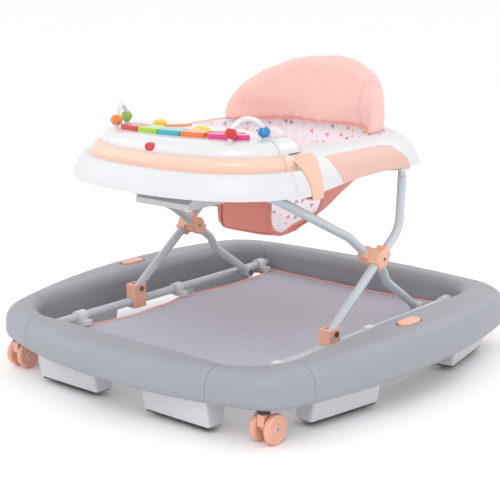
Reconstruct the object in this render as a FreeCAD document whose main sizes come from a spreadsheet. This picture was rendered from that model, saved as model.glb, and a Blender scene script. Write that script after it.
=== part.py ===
"""Baby walker: a ring of grey moulded rails on four twin-wheel casters, a scissor frame of
bent steel tubes, and a play tray that carries a fabric seat.

Millimetres.  Origin on the floor under the middle of the base.  +Z is up, -Y is the
front (the way the child faces) and +X is the child's left.
"""
import FreeCAD, Part

import math
import os

import Sketcher
from FreeCAD import Placement, Rotation, Vector

doc = FreeCAD.newDocument("BabyWalker")
sheet = doc.addObject("Spreadsheet::Sheet", "Sizes")


# ---------------------------------------------------------------- sizes
class Size:
    """A number from the sheet that remembers the expression which gives it."""

    def __init__(self, value, text):
        self.value = float(value)
        self.text = text

    def _joined(self, other, sign, result, swap=False):
        parts = [self.text, text_of(other)]
        if swap:
            parts.reverse()
        return Size(result, "(" + parts[0] + " " + sign + " " + parts[1] + ")")

    def __add__(self, other):
        return self._joined(other, "+", self.value + number(other))

    def __radd__(self, other):
        return self._joined(other, "+", self.value + number(other), swap=True)

    def __sub__(self, other):
        return self._joined(other, "-", self.value - number(other))

    def __rsub__(self, other):
        return self._joined(other, "-", number(other) - self.value, swap=True)

    def __mul__(self, other):
        return self._joined(other, "*", self.value * number(other))

    def __rmul__(self, other):
        return self._joined(other, "*", self.value * number(other), swap=True)

    def __truediv__(self, other):
        return self._joined(other, "/", self.value / number(other))

    def __neg__(self):
        return Size(-self.value, "(0 - " + self.text + ")")


def number(size):
    return size.value if isinstance(size, Size) else float(size)


def text_of(size):
    return size.text if isinstance(size, Size) else repr(float(size))


rows_used = 0


def size(alias, value, note):
    """Write one driving dimension to the sheet and return it."""
    global rows_used
    rows_used += 1
    sheet.set("A" + str(rows_used), note)
    sheet.set("B" + str(rows_used), str(value))
    sheet.setAlias("B" + str(rows_used), alias)
    return Size(value, "Sizes." + alias)


# base rails
base_half_width = size("base_half_width", 313, "outer face of a side rail at its middle")
base_half_length = size("base_half_length", 327, "outer face of the front rail at its middle")
side_bow_radius = size("side_bow_radius", 954, "plan radius of the bowed side rails")
front_bow_radius = size("front_bow_radius", 677, "plan radius of the front rail")
rear_bow_radius = size("rear_bow_radius", 1350, "plan radius of the rear rail")
side_middle_y = size("side_middle_y", 34, "widest point of the bowed side rails")
corner_radius = size("corner_radius", 95, "plan radius of the outer rear corners")
front_corner_radius = size("front_corner_radius", 64, "plan radius of the outer front corners")
inner_half_width = size("inner_half_width", 234, "inner wall of the side rails")
inner_half_length = size("inner_half_length", 264, "inner wall of the front and rear rails")
inner_corner_radius = size("inner_corner_radius", 75, "plan radius of the inner corners")
rail_top = size("rail_top", 104.5, "top of the side rails at their middle")
rail_bottom = size("rail_bottom", 46, "underside of the side rails at their middle")
rail_top_radius = size("rail_top_radius", 6200, "lengthwise radius of the arched rail tops")
rail_bottom_radius = size("rail_bottom_radius", 50000, "lengthwise radius of the rail undersides")
outer_round = size("outer_round", 26, "round on the outer top edge of the rails")
inner_round = size("inner_round", 16, "round on the inner top edge of the rails")
under_round = size("under_round", 12, "round on the lower edges of the rails")
front_side_seam = size("front_side_seam", -216, "joint of a side rail with a front corner")
rear_side_seam = size("rear_side_seam", 258, "joint of a side rail with the rear rail")
front_seam = size("front_seam", 172, "distance of the front rail joints from the middle")
seam_gap = size("seam_gap", 0.6, "open line between two rail mouldings")

# tubes
tube_radius = size("tube_radius", 6.5, "outside radius of every steel tube")
tube_wall = size("tube_wall", 1.0, "wall of the steel tubes")
side_tube_x = size("side_tube_x", 189, "side tubes, from the middle")
side_tube_z = size("side_tube_z", 69.5, "height of the side tubes")
side_tube_grip = size("side_tube_grip", 24, "length of side tube held inside a rail")

# scissor frame; y and z of its pivots at the highest seat position
outer_leg_x = size("outer_leg_x", 189, "plane of the rear legs, in line with the side tubes")
inner_leg_x = size("inner_leg_x", 170, "plane of the front leg frame")
foot_y = size("foot_y", 188, "rear foot pivot")
hub_y = size("hub_y", 55.5, "scissor pivot")
hub_z = size("hub_z", 174, "scissor pivot")
slider_y = size("slider_y", -61.5, "slider pivot")
slider_z = size("slider_z", 89, "slider pivot")
tray_pivot_y = size("tray_pivot_y", 110, "pivot under the tray")
tray_pivot_z = size("tray_pivot_z", 304, "pivot under the tray")
cross_bar_y = size("cross_bar_y", -174, "cross bar of the front leg frame")
cross_bar_z = size("cross_bar_z", 297, "cross bar of the front leg frame")
pivot_pin_radius = size("pivot_pin_radius", 2.5, "pins at the hubs and sliders")
foot_rivet_radius = size("foot_rivet_radius", 3, "rivets at the rear feet")
running_gap = size("running_gap", 0.05, "radial play of a pin in a turning part")
slide_gap = size("slide_gap", 0.4, "radial play of a slider on its tube")
hub_radius = size("hub_radius", 13.5, "round body of a hub")
hub_reach = size("hub_reach", 17, "sleeve of a hub, from its pin to each end")
hub_grip = size("hub_grip", 9, "half the width of a hub sleeve")
hub_wall = size("hub_wall", 2.6, "hub outside the tube it grips")
leg_end_flat = size("leg_end_flat", 1.6, "pressed outer face of a rear leg top, from its axis")
hub_split = size("hub_split", 0.4, "gap between the two halves of a hub")

# casters
wheel_radius = size("wheel_radius", 20.3, "caster wheels")
wheel_width = size("wheel_width", 10, "one caster wheel")
wheel_spacing = size("wheel_spacing", 23, "between the middles of twin wheels")
caster_trail = size("caster_trail", 9, "axle behind the swivel stem")
stem_radius = size("stem_radius", 5, "swivel stem")
axle_radius = size("axle_radius", 2, "caster axle")
front_caster_x = size("front_caster_x", 236, "front swivel stems")
front_caster_y = size("front_caster_y", -265, "front swivel stems")
rear_caster_x = size("rear_caster_x", 206, "rear swivel stems")
rear_caster_y = size("rear_caster_y", 280, "rear swivel stems")

# stop blocks under the rails
stop_clearance = size("stop_clearance", 6, "stop pads above the floor")
stop_pad_thickness = size("stop_pad_thickness", 3, "rubber stop pads")
stop_depth = size("stop_depth", 30, "stop blocks across the rail")
stop_length = size("stop_length", 118, "stop blocks along the rail")

# tray
tray_half_width = size("tray_half_width", 200.8, "tray lip")
tray_front_depth = size("tray_front_depth", 149.5, "front curve of the tray, along Y")
tray_front_y = size("tray_front_y", -110.5, "where the front curve of the tray begins")
tray_rear_depth = size("tray_rear_depth", 180, "rear curve of the tray, along Y")
tray_rear_y = size("tray_rear_y", 74, "where the rear curve of the tray begins")
tray_lip_z = size("tray_lip_z", 294, "lowest edge of the tray skirt")
tray_height = size("tray_height", 51, "seat ring from lip to crown")
tray_wall = size("tray_wall", 2.5, "moulded wall of the tray")
ledge_height = size("ledge_height", 32, "front ledge above the lip")
side_arch_radius = size("side_arch_radius", 1100, "arch in the lower edge of the tray sides")
seat_half_width = size("seat_half_width", 150, "seat opening")
seat_front_y = size("seat_front_y", -71, "seat opening, front edge")
seat_rear_y = size("seat_rear_y", 186, "seat opening, rear edge")
front_zone_y = size("front_zone_y", -124, "rear end of the front ledge")
deck_top_z = size("deck_top_z", 363, "top of the toy deck")
deck_rear_y = size("deck_rear_y", -76, "rear edge of the toy deck")
deck_corner = size("deck_corner", 33, "rounded rear corners of the toy deck")
band_inset = size("band_inset", 25, "coloured band inside the tray lip")
deck_inset = size("deck_inset", 38, "toy deck inside the tray lip")
fit_gap = size("fit_gap", 0.3, "gap round a part that drops in")

# toys
key_travel = size("key_travel", 2.5, "press of a piano key")
key_height = size("key_height", 6.5, "piano keys above the deck")
key_row_radius = size("key_row_radius", 328, "front edge of the row of keys")
key_depth = size("key_depth", 28, "piano keys, front to back")
arch_radius = size("arch_radius", 24.5, "centre line of a bead arch")
arch_rod_radius = size("arch_rod_radius", 3.5, "rod of a bead arch")
bead_radius = size("bead_radius", 8.5, "beads")
bead_length = size("bead_length", 13, "beads")
arch_x = size("arch_x", 118, "bead arches, from the middle")
arch_y = size("arch_y", -156, "bead arches")

# soft goods
seat_depth_z = size("seat_depth_z", 190, "underside of the seat sling")
sling_wall = size("sling_wall", 4, "fabric and padding of the sling")
backrest_half_width = size("backrest_half_width", 151, "outer face of the backrest")
backrest_rear = size("backrest_rear", 83, "outer face behind the backrest ends")
backrest_end_y = size("backrest_end_y", 104, "front ends of the backrest")
backrest_height = size("backrest_height", 100, "backrest above the seat ring")
backrest_thickness = size("backrest_thickness", 20, "padding of the backrest")
mat_half_width = size("mat_half_width", 176, "foot mat at its clips")
mat_front_y = size("mat_front_y", -198, "foot mat")
mat_rear_y = size("mat_rear_y", 260, "foot mat")
mat_top_z = size("mat_top_z", 59, "foot mat")
mat_thickness = size("mat_thickness", 3, "foot mat")
mat_scallop = size("mat_scallop", 15, "depth of the curved sides of the mat")

# fittings, toys and straps
button_x = size("button_x", 271, "middle of the rail buttons")
button_y = size("button_y", 10.5, "middle of the rail buttons")
button_length = size("button_length", 43, "rail buttons")
button_width = size("button_width", 20, "rail buttons")
button_recess_length = size("button_recess_length", 50, "recess with a finger notch at each end")
button_travel = size("button_travel", 3, "press of the rail buttons")
button_rise = size("button_rise", 3, "rail buttons above the rail")
clip_length = size("clip_length", 16, "tube clips")
clip_wall = size("clip_wall", 3, "tube clips")
clip_spacing = size("clip_spacing", 212, "between the tube clips")
clip_middle_y = size("clip_middle_y", 28.5, "middle pair of tube clips")
tab_reach = size("tab_reach", 20, "clip tab over the mat")
end_stop_x = size("end_stop_x", 104, "stops under the front and rear rails")
end_stop_y = size("end_stop_y", 272, "stops under the front and rear rails")
side_stop_x = size("side_stop_x", 247, "stops under the side rails")
side_stop_y = size("side_stop_y", 156, "stops under the side rails")
collar_bottom = size("collar_bottom", 41.8, "underside of the swivel sockets")
collar_radius = size("collar_radius", 8.5, "swivel sockets")
yoke_half_width = size("yoke_half_width", 5.5, "caster yokes")
stem_top = size("stem_top", 60, "top of the swivel stems")
slider_width = size("slider_width", 20, "slider across the tube")
slider_length = size("slider_length", 26, "slider along the tube")
slider_behind = size("slider_behind", 11, "slider behind its pivot")
slider_low = size("slider_low", 59.5, "underside of the slider")
slider_top = size("slider_top", 96.5, "top of the slider")
slot_play = size("slot_play", 0.3, "slider slot beside the leg")
screw_head_radius = size("screw_head_radius", 4, "slider screw heads")
screw_head_height = size("screw_head_height", 1.6, "slider screw heads")
key_arc_x = size("key_arc_x", -33.6, "centre of the row of keys")
key_arc_y = size("key_arc_y", 139, "centre of the row of keys")
key_middle = size("key_middle", 2.9, "degrees from straight ahead to the middle of the four keys")
key_step = size("key_step", 6.7, "degrees from key to key")
key_gap = size("key_gap", 0.8, "gap between keys")
deck_skin = size("deck_skin", 8, "depth of the toy parts below the deck")
lever_depth = size("lever_depth", 15, "long coloured keys, front to back")
long_key_round = size("long_key_round", 6.5, "round ends of the long keys, in plan")
big_button_radius = size("big_button_radius", 12.5, "right yellow button")
small_button_radius = size("small_button_radius", 10, "left yellow button")
dome_radius = size("dome_radius", 16.5, "clear dome")
dome_x = size("dome_x", 118, "clear dome")
dome_y = size("dome_y", -102, "clear dome")
arch_turn = size("arch_turn", 62, "degrees from the X axis to the plane of an arch")
latch_y = size("latch_y", -221.5, "front face of the latch button")
latch_z = size("latch_z", 350.5, "latch button")
latch_length = size("latch_length", 17, "latch button")
latch_height = size("latch_height", 10, "latch button")
latch_travel = size("latch_travel", 2, "press of the latch button")
housing_half_width = size("housing_half_width", 58, "height adjuster housing")
housing_front_y = size("housing_front_y", -216, "front of the housing")
housing_rear_y = size("housing_rear_y", -124, "rear of the housing")
housing_low_z = size("housing_low_z", 265, "underside of the housing")
housing_step_z = size("housing_step_z", 283, "step in the housing")
slot_slope = size("slot_slope", 30.2, "degrees the slot for the cross bar slopes at its upper end")
slot_radius = size("slot_radius", 408, "radius of that slot, which bends downwards")
bar_play = size("bar_play", 0.9, "play of the cross bar in its slot")
lever_pivot_y = size("lever_pivot_y", -132, "release lever pin")
lever_pivot_z = size("lever_pivot_z", 277, "release lever pin")
back_lean = size("back_lean", 0.19, "backward lean of the backrest for each mm of height")
leg_opening_radius = size("leg_opening_radius", 55, "leg openings of the sling")
leg_opening_z = size("leg_opening_z", 249, "middle of the leg openings")
strap_width = size("strap_width", 19, "straps")
strap_y = size("strap_y", -111, "straps")
strap_thickness = size("strap_thickness", 1.8, "straps")

doc.recompute()

nodes = []


# ---------------------------------------------------------------- builders
def bind(obj, prop, value):
    """Set a property to a size from the sheet, or to a plain number."""
    if isinstance(value, Size):
        obj.setExpression(prop, value.text)
    elif prop.startswith("Placement.Base."):
        base = obj.Placement.Base
        setattr(base, prop[-1], float(value))
        obj.Placement = Placement(base, obj.Placement.Rotation)
    else:
        setattr(obj, prop, float(value))


def place(obj, at, rotation=None):
    if rotation is not None:
        obj.Placement = Placement(Vector(), rotation)
    for axis, value in zip("xyz", at):
        bind(obj, "Placement.Base." + axis, value)


def towards(direction):
    """Rotation that turns +Z to a direction."""
    return Rotation(Vector(0, 0, 1), Vector(*[number(d) for d in direction]))


ALONG = {"X": towards((1, 0, 0)), "Y": towards((0, 1, 0)), "Z": Rotation()}


def box(name, lengths, corner, rotation=None):
    obj = doc.addObject("Part::Box", name)
    for prop, value in zip(("Length", "Width", "Height"), lengths):
        bind(obj, prop, value)
    place(obj, corner, rotation)
    return obj


def cylinder(name, radius, height, start, along="Z"):
    obj = doc.addObject("Part::Cylinder", name)
    bind(obj, "Radius", radius)
    bind(obj, "Height", height)
    place(obj, start, ALONG[along] if isinstance(along, str) else towards(along))
    return obj


def cone(name, bottom_radius, top_radius, height, start, along="Z"):
    obj = doc.addObject("Part::Cone", name)
    bind(obj, "Radius1", bottom_radius)
    bind(obj, "Radius2", top_radius)
    bind(obj, "Height", height)
    place(obj, start, ALONG[along])
    return obj


def fuse(name, *shapes):
    obj = doc.addObject("Part::MultiFuse", name)
    obj.Shapes = list(shapes)
    return obj


def cut(name, base, *tools):
    obj = doc.addObject("Part::Cut", name)
    obj.Base = base
    obj.Tool = tools[0] if len(tools) == 1 else fuse(name + "_tools", *tools)
    return obj


def common(name, base, tool):
    obj = doc.addObject("Part::Common", name)
    obj.Base = base
    obj.Tool = tool
    return obj


def mirrored(name, source):
    """The same piece on the other side of the middle plane."""
    obj = doc.addObject("Part::Mirroring", name)
    obj.Source = source
    obj.Normal = Vector(1, 0, 0)
    return obj


def group(name, *parts):
    obj = doc.addObject("Part::Compound", name)
    obj.Links = list(parts)
    return obj


def feature(name, shape):
    obj = doc.addObject("Part::Feature", name)
    obj.Shape = shape
    return obj


def rounded(name, base, radius, chosen):
    """Round the edges of a solid for which chosen(edge) is true."""
    doc.recompute()
    obj = doc.addObject("Part::Fillet", name)
    obj.Base = base
    edges = [i + 1 for i, edge in enumerate(base.Shape.Edges) if chosen(edge)]
    obj.Edges = [(i, number(radius), number(radius)) for i in edges]
    return obj


def node(label, obj):
    """Name a finished sub-part."""
    obj.Label = label
    nodes.append(obj)
    return obj


# ---------------------------------------------------------------- sketches and bodies
def new_body(name):
    return doc.addObject("PartDesign::Body", name)


def sketch(body, name, role, offset=0):
    obj = body.newObject("Sketcher::SketchObject", name)
    plane = next(f for f in body.Origin.OriginFeatures if f.Role == role)
    obj.AttachmentSupport = (plane, [""])
    obj.MapMode = "FlatFace"
    if isinstance(offset, Size):
        obj.setExpression("AttachmentOffset.Base.z", offset.text)
    else:
        obj.AttachmentOffset = Placement(Vector(0, 0, offset), Rotation())
    return obj


def pin_point(drawing, geometry, end, x, y):
    """Tie one point of a sketch to coordinates from the sheet."""
    for kind, value, axis in (("DistanceX", x, -2), ("DistanceY", y, -1)):
        if number(value) == 0:
            drawing.addConstraint(Sketcher.Constraint("PointOnObject", geometry, end, axis))
            continue
        index = drawing.addConstraint(
            Sketcher.Constraint(kind, -1, 1, geometry, end, number(value)))
        if isinstance(value, Size):
            drawing.setExpression("Constraints[" + str(index) + "]", value.text)


def circle(drawing, x, y, radius):
    centre = Vector(number(x), number(y), 0)
    index = drawing.addGeometry(Part.Circle(centre, Vector(0, 0, 1), number(radius)), False)
    pin_point(drawing, index, 3, x, y)
    bound = drawing.addConstraint(Sketcher.Constraint("Radius", index, number(radius)))
    if isinstance(radius, Size):
        drawing.setExpression("Constraints[" + str(bound) + "]", radius.text)


def polygon(drawing, points):
    """Closed outline of straight lines through points tied to the sheet."""
    flat = [Vector(number(x), number(y), 0) for x, y in points]
    count = len(flat)
    for i in range(count):
        drawing.addGeometry(Part.LineSegment(flat[i], flat[(i + 1) % count]), False)
    for i in range(count):
        following = (i + 1) % count
        drawing.addConstraint(Sketcher.Constraint("Coincident", i, 2, following, 1))
    for i, (x, y) in enumerate(points):
        pin_point(drawing, i, 1, x, y)


def curves(drawing, edges):
    """Closed outline of arcs and lines worked out from the sheet."""
    for edge in edges:
        drawing.addGeometry(edge, False)


def pad(body, drawing, length, name, midplane=False):
    obj = body.newObject("PartDesign::Pad", name)
    obj.Profile = drawing
    bind(obj, "Length", length)
    obj.Midplane = midplane
    return obj


def pocket_through(body, drawing, name):
    obj = body.newObject("PartDesign::Pocket", name)
    obj.Profile = drawing
    obj.Type = 1
    obj.Midplane = True
    return obj


def revolve(body, drawing, name, axis="H_Axis"):
    obj = body.newObject("PartDesign::Revolution", name)
    obj.Profile = drawing
    obj.ReferenceAxis = (drawing, [axis])
    obj.Angle = 360
    return obj


def fillet(body, feature_below, radius, name, chosen):
    doc.recompute()
    edges = ["Edge" + str(i + 1) for i, edge in enumerate(feature_below.Shape.Edges)
             if chosen(edge)]
    obj = body.newObject("PartDesign::Fillet", name)
    obj.Base = (feature_below, edges)
    bind(obj, "Radius", radius)
    return obj


def domed(name, radius, rise, skirt, x, y, z):
    """Upright round cap: a straight skirt below a shallow dome, turned about its axis."""
    body = new_body(name)
    half = sketch(body, name + "Half", "XZ_Plane", -y)
    cx, r, low = number(x), number(radius), number(z)
    high, top = low + number(skirt), low + number(skirt) + number(rise)
    swell = (r ** 2 + number(rise) ** 2) / (2 * number(rise))
    flat = 0.4
    slant = math.asin(r / swell) / 2
    crown_z = top - swell + math.sqrt(swell ** 2 - flat ** 2)
    curves(half, [line((cx, low), (cx + r, low)), line((cx + r, low), (cx + r, high)),
                  arc((cx + r, high), (cx + swell * math.sin(slant),
                                       top - swell * (1 - math.cos(slant))),
                      (cx + flat, crown_z)),
                  line((cx + flat, crown_z), (cx, crown_z)), line((cx, crown_z), (cx, low))])
    half.addGeometry(Part.LineSegment(Vector(cx, low, 0), Vector(cx, top, 0)), True)
    turned = body.newObject("PartDesign::Revolution", name + "Turned")
    turned.Profile = half
    turned.ReferenceAxis = (half, ["Axis0"])
    turned.Angle = 360
    return body


def arc(a, b, c):
    return Part.Arc(Vector(*a, 0), Vector(*b, 0), Vector(*c, 0))


def line(a, b):
    return Part.LineSegment(Vector(*a, 0), Vector(*b, 0))


def middle(edge):
    return edge.valueAt((edge.FirstParameter + edge.LastParameter) / 2)


# ---------------------------------------------------------------- bent tubes
def route(points, radii):
    """Wire of straight runs joined by tangent arcs; radii are those of the inner points."""
    corners = [Vector(*[number(c) for c in p]) for p in points]
    edges = []
    start = corners[0]
    for i in range(1, len(corners) - 1):
        before = (corners[i] - corners[i - 1]).normalize()
        after = (corners[i + 1] - corners[i]).normalize()
        turn = before.getAngle(after)
        reach = number(radii[i - 1]) * math.tan(turn / 2)
        first = corners[i] - before * reach
        last = corners[i] + after * reach
        inward = (after - before).normalize()
        rise = number(radii[i - 1]) * (1 / math.cos(turn / 2) - 1)
        edges.append(Part.LineSegment(start, first).toShape())
        edges.append(Part.Arc(first, corners[i] + inward * rise, last).toShape())
        start = last
    edges.append(Part.LineSegment(start, corners[-1]).toShape())
    return Part.Wire(edges)


def tube_shape(wire):
    """Hollow round tube along a wire."""
    edge = wire.Edges[0]
    start = edge.valueAt(edge.FirstParameter)
    direction = edge.tangentAt(edge.FirstParameter)

    def run(radius):
        ring = Part.Wire(Part.makeCircle(radius, start, direction))
        return wire.makePipeShell([ring], True, False)

    return run(number(tube_radius)).cut(run(number(tube_radius - tube_wall)))


# ================================================================ base rails
def corner_arc(bow_radius, end):
    """Three points of the corner arc tangent to the side and to one end of the ring."""
    end_centre = (0.0, end * number(base_half_length - bow_radius))
    side_centre = (number(base_half_width - side_bow_radius), number(side_middle_y))
    r = number(front_corner_radius if end < 0 else corner_radius)
    reach_end = number(bow_radius) - r
    reach_side = number(side_bow_radius) - r
    dx, dy = end_centre[0] - side_centre[0], end_centre[1] - side_centre[1]
    span = math.hypot(dx, dy)
    along = (reach_side ** 2 - reach_end ** 2 + span ** 2) / (2 * span)
    off = math.sqrt(reach_side ** 2 - along ** 2)
    choices = [(side_centre[0] + along * dx / span + turn * off * dy / span,
                side_centre[1] + along * dy / span - turn * off * dx / span)
               for turn in (1, -1)]
    cx, cy = max(choices, key=lambda c: c[0] + end * c[1])

    def away(centre):
        length = math.hypot(cx - centre[0], cy - centre[1])
        return (cx - centre[0]) / length, (cy - centre[1]) / length

    ex, ey = away(end_centre)
    sx, sy = away(side_centre)
    mid = math.hypot(ex + sx, ey + sy)
    return [(cx + r * ex, cy + r * ey), (cx + r * (ex + sx) / mid, cy + r * (ey + sy) / mid),
            (cx + r * sx, cy + r * sy)]


def rail_outline():
    """Eight tangent arcs: bowed front, rear and sides with round corners."""
    w, h, mid_y = number(base_half_width), number(base_half_length), number(side_middle_y)

    def across(p):
        return (-p[0], p[1])

    front = corner_arc(front_bow_radius, -1)
    rear = corner_arc(rear_bow_radius, 1)
    edges = [arc(across(front[0]), (0, -h), front[0]), arc(across(rear[0]), (0, h), rear[0])]
    for side in (lambda p: p, across):
        edges.append(arc(side(front[2]), side((w, mid_y)), side(rear[2])))
        for corner in (front, rear):
            edges.append(arc(*[side(p) for p in corner]))
    return edges


def rounded_rectangle(half_x, half_y, radius, centre=(0.0, 0.0)):
    """Lines and arcs of a rectangle with round corners."""
    edges = []
    diagonal = radius * (1 - math.sqrt(0.5))
    cx, cy = centre
    for sx, sy in ((1, -1), (1, 1), (-1, 1), (-1, -1)):
        corner = [(cx + sx * half_x, cy + sy * (half_y - radius)),
                  (cx + sx * (half_x - diagonal), cy + sy * (half_y - diagonal)),
                  (cx + sx * (half_x - radius), cy + sy * half_y)]
        edges.append(arc(*corner))
        edges.append(line((cx + sx * half_x, cy), corner[0]))
        edges.append(line((cx, cy + sy * half_y), corner[2]))
    return edges


def build_rail_ring():
    body = new_body("RailRing")
    plan = sketch(body, "RailPlan", "XY_Plane", rail_bottom - 10)
    curves(plan, rail_outline())
    curves(plan, rounded_rectangle(number(inner_half_width), number(inner_half_length),
                                   number(inner_corner_radius)))
    pad(body, plan, rail_top - rail_bottom + 20, "RailPad")

    reach = number(base_half_length) + 40

    def arched(name, level, radius, far, sign):
        side = sketch(body, name, "YZ_Plane")
        z, mid_y = number(level), number(side_middle_y)
        drop = reach ** 2 / (2 * number(radius))
        ends = z - drop * sign
        low, high = mid_y - reach, mid_y + reach
        curves(side, [arc((low, ends), (mid_y, z), (high, ends)),
                      line((high, ends), (high, far)), line((high, far), (low, far)),
                      line((low, far), (low, ends))])
        return pocket_through(body, side, name + "Cut")

    arched("RailTopArch", rail_top, rail_top_radius, number(rail_top) + 60, 1)
    trimmed = arched("RailUnderArch", rail_bottom, rail_bottom_radius, 0, -1)

    mid_z = number(rail_top + rail_bottom) / 2

    def is_inner(p):
        return (abs(p.x) < number(inner_half_width) + 1
                and abs(p.y) < number(inner_half_length) + 1)

    def edge_test(top, inner):
        def chosen(edge):
            p = middle(edge)
            if edge.BoundBox.ZLength > 25:
                return False
            return (p.z > mid_z) == top and (inner is None or is_inner(p) == inner)
        return chosen

    outer = fillet(body, trimmed, outer_round, "OuterRound", edge_test(True, False))
    inner = fillet(body, outer, inner_round, "InnerRound",
                   lambda e: edge_test(True, True)(e) and abs(middle(e).z - ring_top(middle(e).y)) < 1)
    fillet(body, inner, under_round, "UnderRound",
           lambda e: e.BoundBox.ZLength < 25 and abs(middle(e).z - ring_under(middle(e).y)) < 1)
    return body


def ring_top(y):
    return number(rail_top) - (y - number(side_middle_y)) ** 2 / (2 * number(rail_top_radius))


def ring_under(y):
    return number(rail_bottom) + (y - number(side_middle_y)) ** 2 / (2 * number(rail_bottom_radius))


rail_ring = build_rail_ring()
doc.recompute()

# openings in the rails: side tube ends and the recesses of the two buttons


def stadium(name, length, width, bottom, height, x, y, sign=1):
    """Upright block with half-round ends, long side along Y."""
    body = new_body(name)
    plan = sketch(body, name + "Plan", "XY_Plane", bottom)
    r, straight = number(width) / 2, number(length - width) / 2
    cx, cy = sign * number(x), number(y)
    curves(plan, [line((cx + r, cy - straight), (cx + r, cy + straight)),
                  arc((cx + r, cy + straight), (cx, cy + straight + r), (cx - r, cy + straight)),
                  line((cx - r, cy + straight), (cx - r, cy - straight)),
                  arc((cx - r, cy - straight), (cx, cy - straight - r), (cx + r, cy - straight))])
    pad(body, plan, height, name + "Pad")
    return body


button_floor = rail_top - 14
recesses = [stadium("ButtonRecess" + side, button_recess_length, button_width + 2 * fit_gap,
                    button_floor, 40, button_x, button_y, sign)
            for side, sign in (("Right", 1), ("Left", -1))]
tube_start = inner_half_length + side_tube_grip - 6
tube_holes = [cylinder("TubeHole" + side, tube_radius, 2 * tube_start,
                       (sign * side_tube_x, -tube_start, side_tube_z), "Y")
              for side, sign in (("Right", 1), ("Left", -1))]
caster_places = {"front_right": (front_caster_x, front_caster_y),
                 "front_left": (-front_caster_x, front_caster_y),
                 "rear_right": (rear_caster_x, rear_caster_y),
                 "rear_left": (-rear_caster_x, rear_caster_y)}
stem_holes = [cylinder("RailStemHole" + tag, stem_radius + running_gap, stem_top + 1 - 30,
                       (x, y, 30)) for tag, (x, y) in caster_places.items()]
rails = cut("RailsMachined", rail_ring, *(recesses + tube_holes + stem_holes))
seat_clearance = 0.25
lowered_ring = group("LoweredRing", rail_ring)
lowered_ring.Placement = Placement(Vector(0, 0, -seat_clearance), Rotation())

far = 400
half_gap = seam_gap / 2
corner_depth = far + front_side_seam - half_gap
side_run = rear_side_seam - front_side_seam - seam_gap
rail_regions = {
    "front_rail": ((2 * front_seam - seam_gap, far, 200), (-front_seam + half_gap, -far, 0)),
    "front_right_corner": ((far, corner_depth, 200), (front_seam + half_gap, -far, 0)),
    "front_left_corner": ((far - front_seam - half_gap, corner_depth, 200), (-far, -far, 0)),
    "right_rail": ((far, side_run, 200), (0, front_side_seam + half_gap, 0)),
    "left_rail": ((far, side_run, 200), (-far, front_side_seam + half_gap, 0)),
    "rear_rail": ((2 * far, far, 200), (-far, rear_side_seam + half_gap, 0)),
}
for label, (lengths, corner) in rail_regions.items():
    region = box(label + "_region", lengths, corner)
    node(label, common(label + "_moulding", rails, region))

# push buttons on the rails
for side, sign in (("right", 1), ("left", -1)):
    block = stadium("RailButton" + side, button_length, button_width, rail_top - 10,
                    button_rise + 10, button_x, button_y, sign)
    doc.recompute()
    top = rail_top + button_rise
    fillet(block, block.Tip, 2.5, "ButtonRound" + side,
           lambda e: abs(middle(e).z - number(top)) < 0.1)
    node("rail_button_" + side, block)


# ================================================================ side tubes and mat
foot_rivet_hole = cylinder("FootRivetHoles", foot_rivet_radius, 2 * side_tube_x + 60,
                           (-side_tube_x - 30, foot_y, side_tube_z), "X")


def side_tube(side, sign):
    body = new_body("SideTube" + side)
    section = sketch(body, "TubeSection" + side, "XZ_Plane", tube_start)
    for radius in (tube_radius, tube_radius - tube_wall):
        circle(section, sign * side_tube_x, side_tube_z, radius)
    run = pad(body, section, 2 * tube_start, "TubeRun" + side)
    run.Reversed = True
    return node(side.lower() + "_side_tube", cut("SideTubeDrilled" + side, body, foot_rivet_hole))


side_tube("Right", 1)
side_tube("Left", -1)



def tube_clip(name, sign, y):
    """Collar round a side tube with a tab that holds the edge of the mat."""
    start = y - clip_length / 2
    collar = cylinder(name + "Collar", tube_radius + clip_wall, clip_length,
                      (sign * side_tube_x, start, side_tube_z), "Y")
    bore = cylinder(name + "Bore", tube_radius, clip_length + 2,
                    (sign * side_tube_x, start - 1, side_tube_z), "Y")
    inner_end = side_tube_x - tab_reach
    corner_x = inner_end if sign > 0 else -side_tube_x
    tab = box(name + "Tab", (tab_reach, clip_length - 3, side_tube_z - mat_top_z - 3),
              (corner_x, start + 1.5, mat_top_z))
    return cut(name, fuse(name + "Solid", collar, tab), bore)


clips = [tube_clip("Clip" + side + str(step + 1), sign, clip_middle_y + step * clip_spacing)
         for side, sign in (("Right", 1), ("Left", -1)) for step in (-1, 0, 1)]
node("tube_clips", group("TubeClips", *clips))


def foot_mat():
    """Flat mat whose long sides curve in between the clips."""
    body = new_body("FootMat")
    plan = sketch(body, "MatPlan", "XY_Plane", mat_top_z - mat_thickness)
    w = number(mat_half_width)
    front, rear = number(mat_front_y), number(mat_rear_y)
    mid = number(clip_middle_y)
    inner = w - number(mat_scallop)
    edges = [line((-w, front), (w, front)), line((w, rear), (-w, rear))]
    for sign in (1, -1):
        for low, high in ((front, mid), (mid, rear)):
            edges.append(arc((sign * w, low), (sign * inner, (low + high) / 2), (sign * w, high)))
    curves(plan, edges)
    pad(body, plan, mat_thickness, "MatPad")
    return body


node("foot_mat", foot_mat())


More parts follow.
